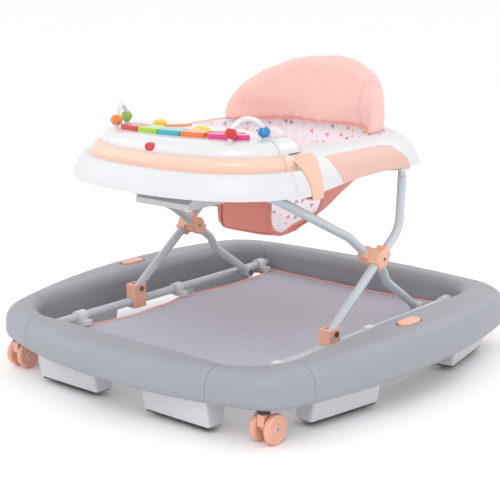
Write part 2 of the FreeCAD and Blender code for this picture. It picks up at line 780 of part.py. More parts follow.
# ================================================================ stop blocks
def stop_block(name, length_x, length_y, x, y, turn):
    """Block under a rail, trimmed to the rail above it, with its rubber pad."""
    draft = 8
    body = new_body(name)
    across = sketch(body, name + "Section", "YZ_Plane")
    low, high = stop_clearance + stop_pad_thickness, rail_bottom + 10
    polygon(across, [(-length_y / 2, low), (length_y / 2, low),
                     (length_y / 2 + draft, high), (-length_y / 2 - draft, high)])
    pad(body, across, length_x, name + "Pad", midplane=True)
    doc.recompute()
    fillet(body, body.Tip, 4, name + "Round",
           lambda e: abs(middle(e).x) > number(length_x) / 2 - 0.1 and e.BoundBox.ZLength > 20)
    strip = box(name + "Strip", (length_x - 8, length_y - 4, stop_pad_thickness),
                (0, 0, 0))
    turned = Rotation(Vector(0, 0, 1), turn)
    body.Placement = Placement(Vector(number(x), number(y), 0), turned)
    offset = turned.multVec(Vector(-number(length_x - 8) / 2, -number(length_y - 4) / 2, 0))
    strip.Placement = Placement(Vector(number(x), number(y), 0) + offset, turned)
    bind(strip, "Placement.Base.z", stop_clearance)
    return cut(name + "Fitted", body, lowered_ring), strip


side_stop_turn = 9.8

end_stops = [stop_block("EndStop" + str(i), stop_length, stop_depth, sx * end_stop_x,
                        sy * end_stop_y, 0)
             for i, (sx, sy) in enumerate(((1, -1), (-1, -1), (1, 1), (-1, 1)))]
side_stops = [stop_block("SideStop" + str(i), stop_length + 8, stop_depth, sx * side_stop_x,
                         side_middle_y + sy * side_stop_y, 90 + side_stop_turn * sx * sy)
              for i, (sx, sy) in enumerate(((1, -1), (-1, -1), (1, 1), (-1, 1)))]
node("stop_blocks", group("StopBlocks", *[block for block, strip in end_stops + side_stops]))
node("stop_pads", group("StopPads", *[strip for block, strip in end_stops + side_stops]))


# ================================================================ casters


def caster(tag, x, y):
    """Socket, yoke with stem, and a pair of wheels on their axle."""
    collar = cylinder("Collar" + tag, collar_radius, rail_bottom + 14 - collar_bottom,
                      (x, y, collar_bottom))
    stem_hole = cylinder("StemHole" + tag, stem_radius + running_gap, stem_top + 1 - collar_bottom,
                         (x, y, collar_bottom - 0.5))
    socket = cut("Socket" + tag, cut("CollarFitted" + tag, collar, lowered_ring), stem_hole)

    axle_y = y + caster_trail
    body = new_body("Yoke" + tag)
    side = sketch(body, "YokeSide" + tag, "YZ_Plane", x)
    top = collar_bottom - 1.2
    polygon(side, [(y - 6, top), (y + 6, top), (axle_y + 9, wheel_radius + 6),
                   (axle_y + 9, wheel_radius - 3), (axle_y + 5, wheel_radius - 8),
                   (axle_y - 4, wheel_radius - 8), (y - 7, wheel_radius + 5)])
    pad(body, side, 2 * yoke_half_width, "YokePad" + tag, midplane=True)
    doc.recompute()
    fillet(body, body.Tip, 2.5, "YokeRound" + tag,
           lambda e: e.BoundBox.XLength > 5 and middle(e).z < number(top) - 1)
    stem = cylinder("Stem" + tag, stem_radius, stem_top - top, (x, y, top - 1))
    shoulder = cylinder("Shoulder" + tag, yoke_half_width + 0.7, 2, (x, y, top - 1.1))
    axle_hole = cylinder("AxleHole" + tag, axle_radius + running_gap, 40,
                         (x - 20, axle_y, wheel_radius), "X")
    yoke = cut("YokeBored" + tag, fuse("YokeSolid" + tag, body, stem, shoulder), axle_hole)

    axle_length = wheel_spacing + wheel_width + 2
    axle = cylinder("Axle" + tag, axle_radius, axle_length,
                    (x - axle_length / 2, axle_y, wheel_radius), "X")
    wheels = [caster_wheel(tag + str(i), x + sign * wheel_spacing / 2, axle_y, sign)
              for i, sign in enumerate((1, -1))]
    return socket, yoke, group("Wheelset" + tag, axle, *wheels)


def caster_wheel(tag, x, y, sign):
    """Wheel with a rounded tread and a dished outer face, turned about its axle."""
    body = new_body("Wheel" + tag)
    half = sketch(body, "WheelSection" + tag, "XY_Plane", wheel_radius)
    w, r = number(wheel_width) / 2, number(wheel_radius)
    cx, cy, hole = number(x), number(y), number(axle_radius)

    def at(across, out):
        return (cx + sign * across, cy + out)

    edges = [line(at(-w, hole), at(w, hole)), line(at(w, hole), at(w, r * 0.32)),
             line(at(w, r * 0.32), at(w - 2, r * 0.42)), line(at(w - 2, r * 0.42), at(w - 2, r * 0.7)),
             line(at(w - 2, r * 0.7), at(w, r * 0.82)),
             arc(at(w, r * 0.82), at(w * 0.72, r * 0.96), at(0, r)),
             arc(at(0, r), at(-w * 0.72, r * 0.96), at(-w, r * 0.82)),
             line(at(-w, r * 0.82), at(-w, hole))]
    curves(half, edges)
    axis = half.addGeometry(Part.LineSegment(Vector(cx - 1, cy, 0), Vector(cx + 1, cy, 0)), True)
    turned = body.newObject("PartDesign::Revolution", "WheelTurned" + tag)
    turned.Profile = half
    turned.ReferenceAxis = (half, ["Axis0"])
    turned.Angle = 360
    return body


sockets = []
for tag, (x, y) in caster_places.items():
    socket, yoke, wheelset = caster(tag.title().replace("_", ""), x, y)
    sockets.append(socket)
    node("caster_yoke_" + tag, yoke)
    node("caster_wheels_" + tag, wheelset)
node("caster_sockets", group("CasterSockets", *sockets))


# ================================================================ scissor frame
hub = Vector(0, number(hub_y), number(hub_z))
slider_pivot = Vector(0, number(slider_y), number(slider_z))
tray_pivot = Vector(0, number(tray_pivot_y), number(tray_pivot_z))
inner_leg_slope = math.radians(36.5)
inner_leg_line = Vector(0, -math.cos(inner_leg_slope), math.sin(inner_leg_slope))
outer_leg_line = (hub - slider_pivot).normalize()


def in_plane(x, point):
    return (number(x), point.y, point.z)


def pin_hole(name, radius, point):
    """Cylinder across both sides of the walker at a pivot."""
    reach = side_tube_x + 30
    return cylinder(name, radius, 2 * reach, (-reach, point.y, point.z), "X")


hub_hole_tight = pin_hole("HubHoleTight", pivot_pin_radius, hub)
hub_hole_free = pin_hole("HubHoleFree", pivot_pin_radius + running_gap, hub)

# front leg frame: one tube from the rear feet, through the hubs, to the cross bar
foot = Vector(0, number(foot_y), number(side_tube_z))
below_hub = hub - inner_leg_line * 45
knee = Vector(0, below_hub.y + 12, below_hub.z - 21)
above_hub = hub + inner_leg_line * 62
bar = Vector(0, number(cross_bar_y), number(cross_bar_z))
half_run = [foot, knee, below_hub, above_hub, bar]
frame_points = ([in_plane(inner_leg_x, p) for p in half_run]
                + [in_plane(-inner_leg_x, p) for p in reversed(half_run)])
frame_bends = [30, 30, 60, 30]
frame_tube = feature("FrontFrameTube", tube_shape(route(frame_points,
                                                        frame_bends + frame_bends[::-1])))
lug_end = side_tube_x - tube_radius - fit_gap
lug_radius = 9
lugs = [cylinder("FootLugRight", lug_radius, lug_end - inner_leg_x + 6,
                 (inner_leg_x - 6, foot_y, side_tube_z), "X"),
        cylinder("FootLugLeft", lug_radius, lug_end - inner_leg_x + 6,
                 (-lug_end, foot_y, side_tube_z), "X")]
lug_hole = cylinder("LugHoles", foot_rivet_radius + running_gap, 2 * side_tube_x + 60,
                    (-side_tube_x - 30, foot_y, side_tube_z), "X")
front_frame = cut("FrontFrame", fuse("FrontFrameSolid", frame_tube, *lugs),
                  lug_hole, hub_hole_tight)
node("front_leg_frame", front_frame)

head = 2
rivets = []
for name, sign in (("Right", 1), ("Left", -1)):
    inner_end = inner_leg_x - tube_radius - fit_gap - head
    outer_end = side_tube_x + tube_radius + head
    low = inner_end if sign > 0 else -outer_end
    shank = cylinder("RivetShank" + name, foot_rivet_radius, outer_end - inner_end,
                     (low, foot_y, side_tube_z), "X")
    ends = [cylinder("RivetHead" + name + str(i), foot_rivet_radius + 2, head,
                     (start, foot_y, side_tube_z), "X")
            for i, start in enumerate((low, low + outer_end - inner_end - head))]
    rivets.append(fuse("FootRivet" + name, shank, *ends))
node("foot_rivets", group("FootRivets", *rivets))


def rear_leg(side, sign):
    """Bent tube from the slider, through the hub, up to the tray pivot."""
    start = slider_pivot - outer_leg_line * 3
    bend = hub + outer_leg_line * 60.5
    finish = tray_pivot + (tray_pivot - bend).normalize() * 2.5
    path = route([in_plane(sign * outer_leg_x, p) for p in (start, bend, finish)], [38])
    tube = feature("RearLegTube" + side, tube_shape(path))
    upward = (finish - bend).normalize()
    press_start = tray_pivot - upward * 18
    plug = cylinder("RearLegEnd" + side, tube_radius, (finish - press_start).Length,
                    in_plane(sign * outer_leg_x, press_start), tuple(upward))
    flat_x = outer_leg_x + leg_end_flat
    pressed = box("RearLegFlat" + side, (20, 60, 30),
                  (flat_x if sign > 0 else -flat_x - 20, tray_pivot.y - 30, press_start.z + 1))
    tube = fuse("RearLegSolid" + side, tube, plug)
    holes = [pressed, hub_hole_free,
             pin_hole("SliderHole" + side, pivot_pin_radius, slider_pivot),
             pin_hole("TrayHole" + side, foot_rivet_radius + running_gap, tray_pivot)]
    return node("rear_leg_" + side.lower(), cut("RearLeg" + side, tube, *holes))


rear_leg("Right", 1)
rear_leg("Left", -1)


def hub_half(name, sign, near, far, leg_x, direction, hole):
    """Half a hub: a round cap with a sleeve that grips one leg."""
    width = far - near
    low = near if sign > 0 else -far
    cap = cylinder(name + "Cap", hub_radius, width, (low, hub_y, hub_z), "X")
    sleeve_half, grip = number(hub_reach), number(hub_grip)
    sleeve = box(name + "Sleeve", (width, 2 * sleeve_half, 2 * grip), (0, 0, 0))
    tilt = math.degrees(math.atan2(direction.z, direction.y))
    turned = Rotation(Vector(1, 0, 0), tilt)
    corner = Vector(number(low), hub.y, hub.z) + turned.multVec(Vector(0, -sleeve_half, -grip))
    sleeve.Placement = Placement(corner, turned)
    outside = number(near if name.startswith("Inner") else far) * sign
    solid = rounded(name + "Round", fuse(name + "Solid", cap, sleeve), 3,
                    lambda e: abs(middle(e).x - outside) < 0.1)
    run = direction * 40
    start = Vector(number(sign * leg_x), hub.y, hub.z) - run
    bore = cylinder(name + "Bore", tube_radius, 80, (start.x, start.y, start.z),
                    (direction.x, direction.y, direction.z))
    return cut(name, solid, bore, hole)


split = (inner_leg_x + outer_leg_x) / 2
hub_outside = tube_radius + hub_wall
inner_halves = [hub_half("InnerHub" + side, sign, inner_leg_x - hub_outside,
                         split - hub_split / 2, inner_leg_x, inner_leg_line, hub_hole_tight)
                for side, sign in (("Right", 1), ("Left", -1))]
outer_halves = [hub_half("OuterHub" + side, sign, split + hub_split / 2,
                         outer_leg_x + hub_outside, outer_leg_x, outer_leg_line, hub_hole_free)
                for side, sign in (("Right", 1), ("Left", -1))]
node("hub_inner_halves", group("HubInnerHalves", *inner_halves))
node("hub_outer_halves", group("HubOuterHalves", *outer_halves))

hub_pins = []
pin_length = outer_leg_x - inner_leg_x + 2 * hub_outside + 2
for side, sign in (("Right", 1), ("Left", -1)):
    start = inner_leg_x - hub_outside - 1
    low = start if sign > 0 else -start - pin_length
    hub_pins.append(cylinder("HubPin" + side, pivot_pin_radius, pin_length,
                             (low, hub_y, hub_z), "X"))
node("hub_pins", group("HubPins", *hub_pins))

# sliders on the side tubes
slider_screws = []


def tube_slider(side, sign):
    """Block that slides on a side tube, slotted for the foot of a rear leg."""
    body = new_body("Slider" + side)
    plan = sketch(body, "SliderPlan" + side, "XY_Plane", slider_low)
    left = sign * side_tube_x - slider_width / 2
    front = slider_y + slider_behind - slider_length
    polygon(plan, [(left, front), (left + slider_width, front),
                   (left + slider_width, front + slider_length), (left, front + slider_length)])
    pad(body, plan, slider_top - slider_low, "SliderPad" + side)
    doc.recompute()
    fillet(body, body.Tip, 2.5, "SliderRound" + side, lambda e: e.BoundBox.ZLength > 30)
    bore = cylinder("SliderBore" + side, tube_radius + slide_gap, slider_length + 4,
                    (sign * side_tube_x, front - 2, side_tube_z), "Y")
    slot_width = 2 * (tube_radius + slot_play)
    slot = box("SliderSlot" + side, (slot_width, slider_length, 40),
               (sign * side_tube_x - slot_width / 2, slider_y - tube_radius - 2.5,
                slider_z - tube_radius - 2.5))
    hole = pin_hole("SliderScrewHole" + side, pivot_pin_radius + running_gap, slider_pivot)
    node("tube_slider_" + side.lower(), cut("SliderCut" + side, body, bore, slot, hole))
    shank_length = slider_width + 2
    low = sign * side_tube_x - shank_length / 2
    shank = cylinder("ScrewShank" + side, pivot_pin_radius, shank_length,
                     (low, slider_y, slider_z), "X")
    heads = [cylinder("ScrewHead" + side + end, screw_head_radius, screw_head_height,
                      (head_low, slider_y, slider_z), "X")
             for end, head_low in (("Out", sign * side_tube_x + slider_width / 2),
                                   ("In", sign * side_tube_x - slider_width / 2 - screw_head_height))]
    slider_screws.append(fuse("SliderScrew" + side, shank, *heads))


tube_slider("Right", 1)
tube_slider("Left", -1)
node("slider_screws", group("SliderScrews", *slider_screws))


# ================================================================ tray
def tray_end(inset, z, centre, depth, sign, squareness=2.4, points=9):
    """One curved end of the tray outline, as a spline with its first and last point."""
    a = number(tray_half_width) - inset
    curve = []
    for i in range(2 * points - 1):
        angle = math.pi * i / (2 * points - 2)
        c, s = math.cos(angle), math.sin(angle)
        curve.append(Vector(sign * a * math.copysign(abs(c) ** (2 / squareness), c),
                            number(centre) + sign * (number(depth) - inset) * abs(s) ** (2 / squareness),
                            z))
    spline = Part.BSplineCurve()
    spline.interpolate(curve, InitialTangent=Vector(0, sign, 0), FinalTangent=Vector(0, -sign, 0))
    return spline.toShape(), curve[0], curve[-1]


def oval_wire(inset, z):
    """Closed outline of the tray, set in from the lip: two curved ends and straight sides."""
    front = tray_end(inset, z, tray_front_y, tray_front_depth, -1)
    rear = tray_end(inset, z, tray_rear_y, tray_rear_depth, 1)
    return Part.Wire([front[0], Part.LineSegment(front[2], rear[1]).toShape(), rear[0],
                      Part.LineSegment(rear[2], front[1]).toShape()])


def deck_wire(inset, rear_inset, z):
    """Outline of the toy deck: the front of the tray outline, with a rounded rear edge."""
    front, first, last = tray_end(inset, z, tray_front_y, tray_front_depth, -1)
    rear_y = number(deck_rear_y) - rear_inset
    corner = min(number(deck_corner), rear_y - first.y - 0.5)
    edges, half = [front], corner * (1 - math.sqrt(0.5))
    right, left = (last, first) if last.x > 0 else (first, last)
    right_turn = Vector(right.x, rear_y - corner, z), Vector(right.x - corner, rear_y, z)
    left_turn = Vector(left.x + corner, rear_y, z), Vector(left.x, rear_y - corner, z)
    edges.append(Part.LineSegment(right, right_turn[0]).toShape())
    edges.append(Part.Arc(right_turn[0], Vector(right.x - half, rear_y - half, z), right_turn[1]).toShape())
    edges.append(Part.LineSegment(right_turn[1], left_turn[0]).toShape())
    edges.append(Part.Arc(left_turn[0], Vector(left.x + half, rear_y - half, z), left_turn[1]).toShape())
    edges.append(Part.LineSegment(left_turn[1], left).toShape())
    return Part.Wire(edges)


def opening_wire(grow, z, squareness=3.0, points=10):
    """Closed outline of the seat opening, grown by a margin."""
    a = number(seat_half_width) + grow
    b = number(seat_rear_y - seat_front_y) / 2 + grow
    centre = number(seat_rear_y + seat_front_y) / 2
    curve = []
    for i in range(4 * points):
        angle = 2 * math.pi * i / (4 * points)
        c, s = math.cos(angle), math.sin(angle)
        curve.append(Vector(a * math.copysign(abs(c) ** (2 / squareness), c),
                            centre + b * math.copysign(abs(s) ** (2 / squareness), s), z))
    spline = Part.BSplineCurve()
    spline.interpolate(curve, PeriodicFlag=True)
    return Part.Wire(spline.toShape())


def lofted(sections, ruled=False):
    """Solid through tray outlines given as (height above the lip, inset)."""
    lip = number(tray_lip_z)
    return Part.makeLoft([oval_wire(inset, lip + height) for height, inset in sections],
                         True, ruled)


def prism(wire, height):
    return Part.Face(wire).extrude(Vector(0, 0, height))


def slab(low, high, y_low, y_high):
    """Wide flat block between two heights and two stations."""
    return Part.makeBox(900, y_high - y_low, high - low, Vector(-450, y_low, low))


lip = number(tray_lip_z)
wall = number(tray_wall)
crown = number(tray_height)
ledge = lip + number(ledge_height)
zone = number(front_zone_y)
ring_profile = [(0, 0), (crown * 0.25, 3), (crown * 0.48, 9), (crown * 0.68, 17),
                (crown * 0.84, 27), (crown * 0.95, 38), (crown, 50)]
outer = lofted(ring_profile)
cavity = lofted([(height - wall, inset + wall) for height, inset in ring_profile])
cavity = cavity.cut(prism(opening_wire(wall, lip - 20), crown + 60))
under_ledge = slab(lip - 20, ledge - wall, -400, zone + wall)
behind_ledge = slab(lip - 20, lip + crown, zone + wall, 400)
cavity = cavity.common(under_ledge.fuse(behind_ledge))
arch_centre_z = lip + 9.5 - number(side_arch_radius)
side_arch = Part.makeCylinder(number(side_arch_radius), 900,
                              Vector(-450, 39, arch_centre_z), Vector(1, 0, 0))
shell = outer.cut(cavity).cut(prism(opening_wire(0, lip - 20), crown + 60))
shell = shell.cut(slab(ledge, ledge + 100, -400, zone)).cut(side_arch)
shell = shell.cut(prism(opening_wire(wall + 0.05, lip - 20), 36))


def panel_region(shrink):
    """Both side panel outlines, pushed through the outer wall of the tray ring."""
    bottom, top = lip - 10, lip + crown + 5
    outline = [(-46 + shrink, bottom), (124 - shrink, bottom), (116 - shrink, lip + 20),
               (94 - shrink, lip + 38 - shrink), (54, lip + 44 - shrink),
               (-63 + shrink, lip + 44 - shrink)]
    points = [Vector(0, y, z) for y, z in outline]
    face = Part.Face(Part.makePolygon(points + points[:1]))
    inner_limit = number(tray_half_width) - 26
    blocks = []
    for sign in (1, -1):
        block = face.extrude(Vector(sign * 260, 0, 0))
        keep = Part.makeBox(100, 400, 200,
                            Vector(inner_limit if sign > 0 else -inner_limit - 100, -200, bottom))
        blocks.append(block.common(keep))
    return blocks


regions = panel_region(0)
small_regions = panel_region(number(fit_gap))
panels = [shell.common(region) for region in small_regions]
node("side_panels", feature("SidePanels", Part.makeCompound(panels)))
tray_shape = shell
for region in regions:
    tray_shape = tray_shape.cut(region)
node("tray_base", feature("TrayBase", tray_shape))

# coloured band on the front ledge
gap = number(fit_gap)
front_only = slab(lip - 50, lip + 200, -400, zone - gap)
band_low = number(ledge_height)
deck_in = number(deck_inset)
band_in = number(band_inset)
band_rounds = [(0, 0), (6, 0.4), (10, 1.6), (13, 3.4), (15.5, 5.6), (17.2, 8), (18, deck_in - band_in - 3)]
band = lofted([(band_low + rise, band_in + step) for rise, step in band_rounds], True)
band = band.cut(lofted([(band_low - 1, deck_in), (band_low + 30, deck_in)], True))
band = band.cut(slab(lip - 50, lip + 200, zone - gap, 400))
node("tray_band", feature("TrayBand", band))

# toy deck: a shallow closed housing with a soft shoulder
top = number(deck_top_z) - lip
inner = deck_in + gap
deck_steps = [(band_low, 0, 0), (top - 18, 0, 0), (top - 12, 2, 1.5), (top - 7, 6, 3.5),
              (top - 3, 12, 6), (top - 0.8, 20, 8), (top, 29, 9.5)]
deck = Part.makeLoft([deck_wire(inner + step, rear, lip + rise) for rise, step, rear in deck_steps],
                     True, False)
deck = deck.cut(slab(lip - 50, lip + crown + gap, zone - gap, 400))
inner_steps = [(band_low - 5, 0, 0), (top - 18, 0, 0), (top - 12, 2, 1.5), (top - 7, 6, 3.5),
               (top - wall - 0.8, 14, 6.5), (top - wall, 24, 9)]
deck_inner = Part.makeLoft([deck_wire(inner + wall + step, wall + rear, lip + rise)
                            for rise, step, rear in inner_steps], True, False)
deck_inner = deck_inner.cut(slab(lip - 50, lip + crown - 5, zone - gap - wall, 400))
deck_hollow = feature("DeckMoulding", deck.cut(deck_inner))

# ================================================================ toys on the deck
arc_centre = (number(key_arc_x), number(key_arc_y))


def arc_sector(name, bottom, height, outer_radius, depth, start, end, side_gap, corner=2.0):
    """Part of a ring about the key centre, between two angles from straight ahead."""
    body = new_body(name)
    plan = sketch(body, name + "Plan", "XY_Plane", bottom)
    far_r, near_r = number(outer_radius), number(outer_radius) - number(depth)
    cx, cy = arc_centre

    def at(radius, degrees, shift):
        angle = math.radians(degrees) + shift / radius
        return (cx + radius * math.sin(angle), cy - radius * math.cos(angle))

    half_gap = side_gap / 2
    mid = (start + end) / 2
    p = [at(far_r, start, half_gap), at(far_r, mid, 0), at(far_r, end, -half_gap)]
    q = [at(near_r, start, half_gap), at(near_r, mid, 0), at(near_r, end, -half_gap)]
    curves(plan, [arc(*p), line(p[2], q[2]), arc(*q), line(q[0], p[0])])
    pad(body, plan, height, name + "Pad")
    doc.recompute()
    if corner:
        fillet(body, body.Tip, corner, name + "Corners", lambda e: e.BoundBox.ZLength > 5)
        doc.recompute()
        level = number(bottom + height)
        fillet(body, body.Tip, 1.6, name + "Top", lambda e: abs(middle(e).z - level) < 0.1)
    return body


key_bottom = deck_top_z - deck_skin
wells = []
first = key_middle.value - 2 * key_step.value
row_names = ("red", "lime", "teal", "orange")
for i, colour in enumerate(row_names):
    start = first + i * key_step.value
    key = arc_sector("Key" + colour.title(), key_bottom, key_height + deck_skin,
                     key_row_radius, key_depth, start, start + key_step.value,
                     number(key_gap))
    node("piano_key_" + colour, key)
wells.append(arc_sector("KeyWell", key_bottom - 4, 40, key_row_radius + fit_gap,
                        key_depth + 2 * fit_gap, first, first + 4 * key_step.value,
                        number(key_gap) - 2 * number(fit_gap), 0))

magenta_start = first + 4 * key_step.value + 0.9
for colour, outer_r, sweep in (("magenta", key_row_radius + 5, 10.3),
                               ("red", key_row_radius - 12, 8.4)):
    long_end = magenta_start + sweep
    long_key = arc_sector("LongKey" + colour.title(), key_bottom, key_height + deck_skin,
                          outer_r, lever_depth, magenta_start, long_end, 0.0, number(long_key_round))
    node("long_key_" + colour, long_key)
    wells.append(arc_sector("LongKeyWell" + colour.title(), key_bottom - 4, 40,
                            outer_r + fit_gap, lever_depth + 2 * fit_gap, magenta_start,
                            long_end, -2 * number(fit_gap),
                            number(long_key_round)))

# round push buttons
for label, radius, x, y in (("yellow_button_front", big_button_radius, 8, -126),
                            ("yellow_button_left", small_button_radius, -84, -112)):
    node(label, domed(label + "_cap", radius, 4, deck_skin + 3, x, y, key_bottom))
    wells.append(cylinder(label + "_well", radius + fit_gap, 40, (x, y, key_bottom - 4)))


# flat coloured leaves and a dot, set in shallow pockets of the deck
def leaf(name, tip_a, tip_b, belly, bottom, height, grow):
    """Pointed oval between two tips."""
    body = new_body(name)
    plan = sketch(body, name + "Plan", "XY_Plane", bottom)
    ax, ay = tip_a
    bx, by = tip_b
    length = math.hypot(bx - ax, by - ay)
    ux, uy = (bx - ax) / length, (by - ay) / length
    ax, ay, bx, by = ax - ux * grow, ay - uy * grow, bx + ux * grow, by + uy * grow
    mx, my = (ax + bx) / 2, (ay + by) / 2
    side_a = (mx - uy * (belly + grow), my + ux * (belly + grow))
    side_b = (mx + uy * (belly + grow), my - ux * (belly + grow))
    curves(plan, [arc((ax, ay), side_a, (bx, by)), arc((bx, by), side_b, (ax, ay))])
    pad(body, plan, height, name + "Pad")
    return body


leaf_places = {"orange": ((-63, -126), (-38, -94), 8), "green": ((27, -129), (52, -116), 7)}
pocket_floor = deck_top_z - 1
inlays = []
for colour, (tip_a, tip_b, belly) in leaf_places.items():
    inlays.append(leaf("Leaf" + colour.title(), tip_a, tip_b, belly, pocket_floor, 3, 0))
    wells.append(leaf("LeafPocket" + colour.title(), tip_a, tip_b, belly, pocket_floor, 30,
                      number(fit_gap)))
inlays.append(cylinder("BlueDot", 6, 3, (-74, -138, pocket_floor)))
node("deck_inlays", group("DeckInlays", *inlays))
wells.append(cylinder("DotPocket", 6 + fit_gap, 30, (-74, -138, pocket_floor)))

# clear dome over the spinning picture
dome_cap = domed("DomeCap", dome_radius, dome_radius * 0.7, 1.5, dome_x, dome_y, deck_top_z - 1)
node("toy_dome", dome_cap)
wells.append(cylinder("DomePocket", dome_radius + fit_gap, 30, (dome_x, dome_y, deck_top_z - 1)))

# bead arches
arch_ends = []
arch_solids = []
bead_pieces = {}
arch_leg = 4
apex = number(deck_top_z) + arch_leg
for side, sign in (("Right", 1), ("Left", -1)):
    centre = Vector(sign * number(arch_x), number(arch_y), apex)
    turn = math.radians(number(arch_turn))
    across = Vector(sign * math.cos(turn), math.sin(turn), 0)
    r = number(arch_radius)
    down = Vector(0, 0, -arch_leg - 5)
    left_foot, right_foot = centre - across * r, centre + across * r
    rod_path = Part.Wire([Part.LineSegment(left_foot + down, left_foot).toShape(),
                          Part.Arc(left_foot, centre + Vector(0, 0, r), right_foot).toShape(),
                          Part.LineSegment(right_foot, right_foot + down).toShape()])
    ring = Part.Wire(Part.makeCircle(number(arch_rod_radius), left_foot + down, Vector(0, 0, 1)))
    arch_solids.append(feature("ArchRod" + side, rod_path.makePipeShell([ring], True, False)))
    for i, foot_at in enumerate((left_foot, right_foot)):
        arch_ends.append(cylinder("ArchHole" + side + str(i), arch_rod_radius, 40,
                                  (foot_at.x, foot_at.y, deck_top_z - 30)))
    axis = Vector(0, 0, 1).cross(across)
    for i, swing in enumerate((14, 166)):
        angle = math.radians(swing)
        spot = centre + across * (-r * math.cos(angle)) + Vector(0, 0, r * math.sin(angle))
        heading = across * math.sin(angle) + Vector(0, 0, math.cos(angle))
        half_length = number(bead_length) / 2
        start = spot - heading * half_length
        waist = cone("Bead" + side + str(i), bead_radius - 3, bead_radius, bead_length / 3,
                     (0, 0, 0))
        tail = cone("BeadTail" + side + str(i), bead_radius, bead_radius - 3, bead_length / 3,
                    (0, 0, 0))
        barrel = cylinder("BeadBarrel" + side + str(i), bead_radius, bead_length / 3, (0, 0, 0))
        facing = Rotation(Vector(0, 0, 1), heading)
        for piece, step in ((waist, 0), (barrel, 1), (tail, 2)):
            piece.Placement = Placement(start + heading * (step * number(bead_length) / 3), facing)
        bore_ring = doc.addObject("Part::Torus", "BeadBore" + side + str(i))
        bind(bore_ring, "Radius1", arch_radius)
        bind(bore_ring, "Radius2", arch_rod_radius + 0.3)
        bore_ring.Placement = Placement(centre, Rotation(Vector(0, 0, 1), axis))
        bead = cut("BeadBored" + side + str(i),
                   fuse("BeadSolid" + side + str(i), waist, barrel, tail), bore_ring)
        bead_pieces[(side, i)] = bead
node("bead_arches", group("BeadArches", *arch_solids))
bead_colours = {("Right", 0): "red", ("Right", 1): "blue", ("Left", 0): "orange",
                ("Left", 1): "green"}
for which, colour in bead_colours.items():
    node("bead_" + colour, bead_pieces[which])

# oval latch button in the front wall of the deck


def upright_stadium(name, length, height, z, y_front, depth):
    body = new_body(name)
    plan = sketch(body, name + "Plan", "XZ_Plane", -y_front)
    r, straight = number(height) / 2, number(length - height) / 2
    cz = number(z)
    curves(plan, [line((-straight, cz - r), (straight, cz - r)),
                  arc((straight, cz - r), (straight + r, cz), (straight, cz + r)),
                  line((straight, cz + r), (-straight, cz + r)),
                  arc((-straight, cz + r), (-straight - r, cz), (-straight, cz - r))])
    run = pad(body, plan, depth, name + "Pad")
    run.Reversed = True
    return body


latch = upright_stadium("DeckLatch", latch_length, latch_height, latch_z, latch_y, 10)
doc.recompute()
fillet(latch, latch.Tip, 1.5, "LatchRound",
       lambda e: abs(middle(e).y - number(latch_y)) < 0.1)
node("deck_latch_button", latch)
latch_well = upright_stadium("LatchWell", latch_length + 2 * fit_gap,
                             latch_height + 2 * fit_gap, latch_z, latch_y - 20, 40)

node("toy_deck", cut("ToyDeck", deck_hollow, *(wells + arch_ends + [latch_well])))


# ================================================================ under the tray

housing_top = tray_lip_z + ledge_height - tray_wall - fit_gap
housing_body = new_body("HousingBlock")
housing_side = sketch(housing_body, "HousingSide", "YZ_Plane")
polygon(housing_side, [(housing_front_y, housing_step_z + 8), (housing_front_y + 8, housing_step_z),
                       (housing_rear_y, housing_step_z), (housing_rear_y, housing_top),
                       (housing_front_y, housing_top)])
pad(housing_body, housing_side, 2 * housing_half_width, "HousingPad", midplane=True)
doc.recompute()
fillet(housing_body, housing_body.Tip, 6, "HousingRound",
       lambda e: e.BoundBox.ZLength > 15 and abs(middle(e).x) > 10 and middle(e).z < 320)
lower = box("HousingLower", (2 * (housing_half_width - 8), housing_rear_y - housing_front_y - 18,
                             housing_step_z - housing_low_z + 2),
            (-(housing_half_width - 8), housing_front_y + 18, housing_low_z))
slot_width = 2 * (tube_radius + bar_play)
slope = math.radians(number(slot_slope))
slot_centre = bar + Vector(0, math.sin(slope), -math.cos(slope)) * number(slot_radius)
slot_run = 2 * housing_half_width + 20
slot_start = (-housing_half_width - 10, slot_centre.y, slot_centre.z)
slot_disc = cylinder("SlotDisc", slot_radius + slot_width / 2, slot_run, slot_start, "X")
slot_core = cylinder("SlotCore", slot_radius - slot_width / 2, slot_run, slot_start, "X")
slot_front = box("SlotFront", (slot_run + 20, 150, 150),
                 (-housing_half_width - 20, cross_bar_y - 150, cross_bar_z - 100))
bar_slot = common("BarSlot", cut("SlotRing", slot_disc, slot_core), slot_front)
slot_round = cylinder("SlotEnd", tube_radius + bar_play, 2 * housing_half_width + 20,
                      (-housing_half_width - 10, cross_bar_y, cross_bar_z), "X")
lever_seat = box("LeverSeat", (44, 34, 30), (-22, housing_rear_y - 33, housing_low_z - 10))
trunnion_radius = 2
lever_pin_hole = cylinder("LeverPinHole", trunnion_radius + running_gap, 53,
                          (-26.5, lever_pivot_y, lever_pivot_z), "X")
housing = cut("Housing", fuse("HousingSolid", housing_body, lower), bar_slot, slot_round,
              lever_seat, lever_pin_hole)
node("height_housing", housing)

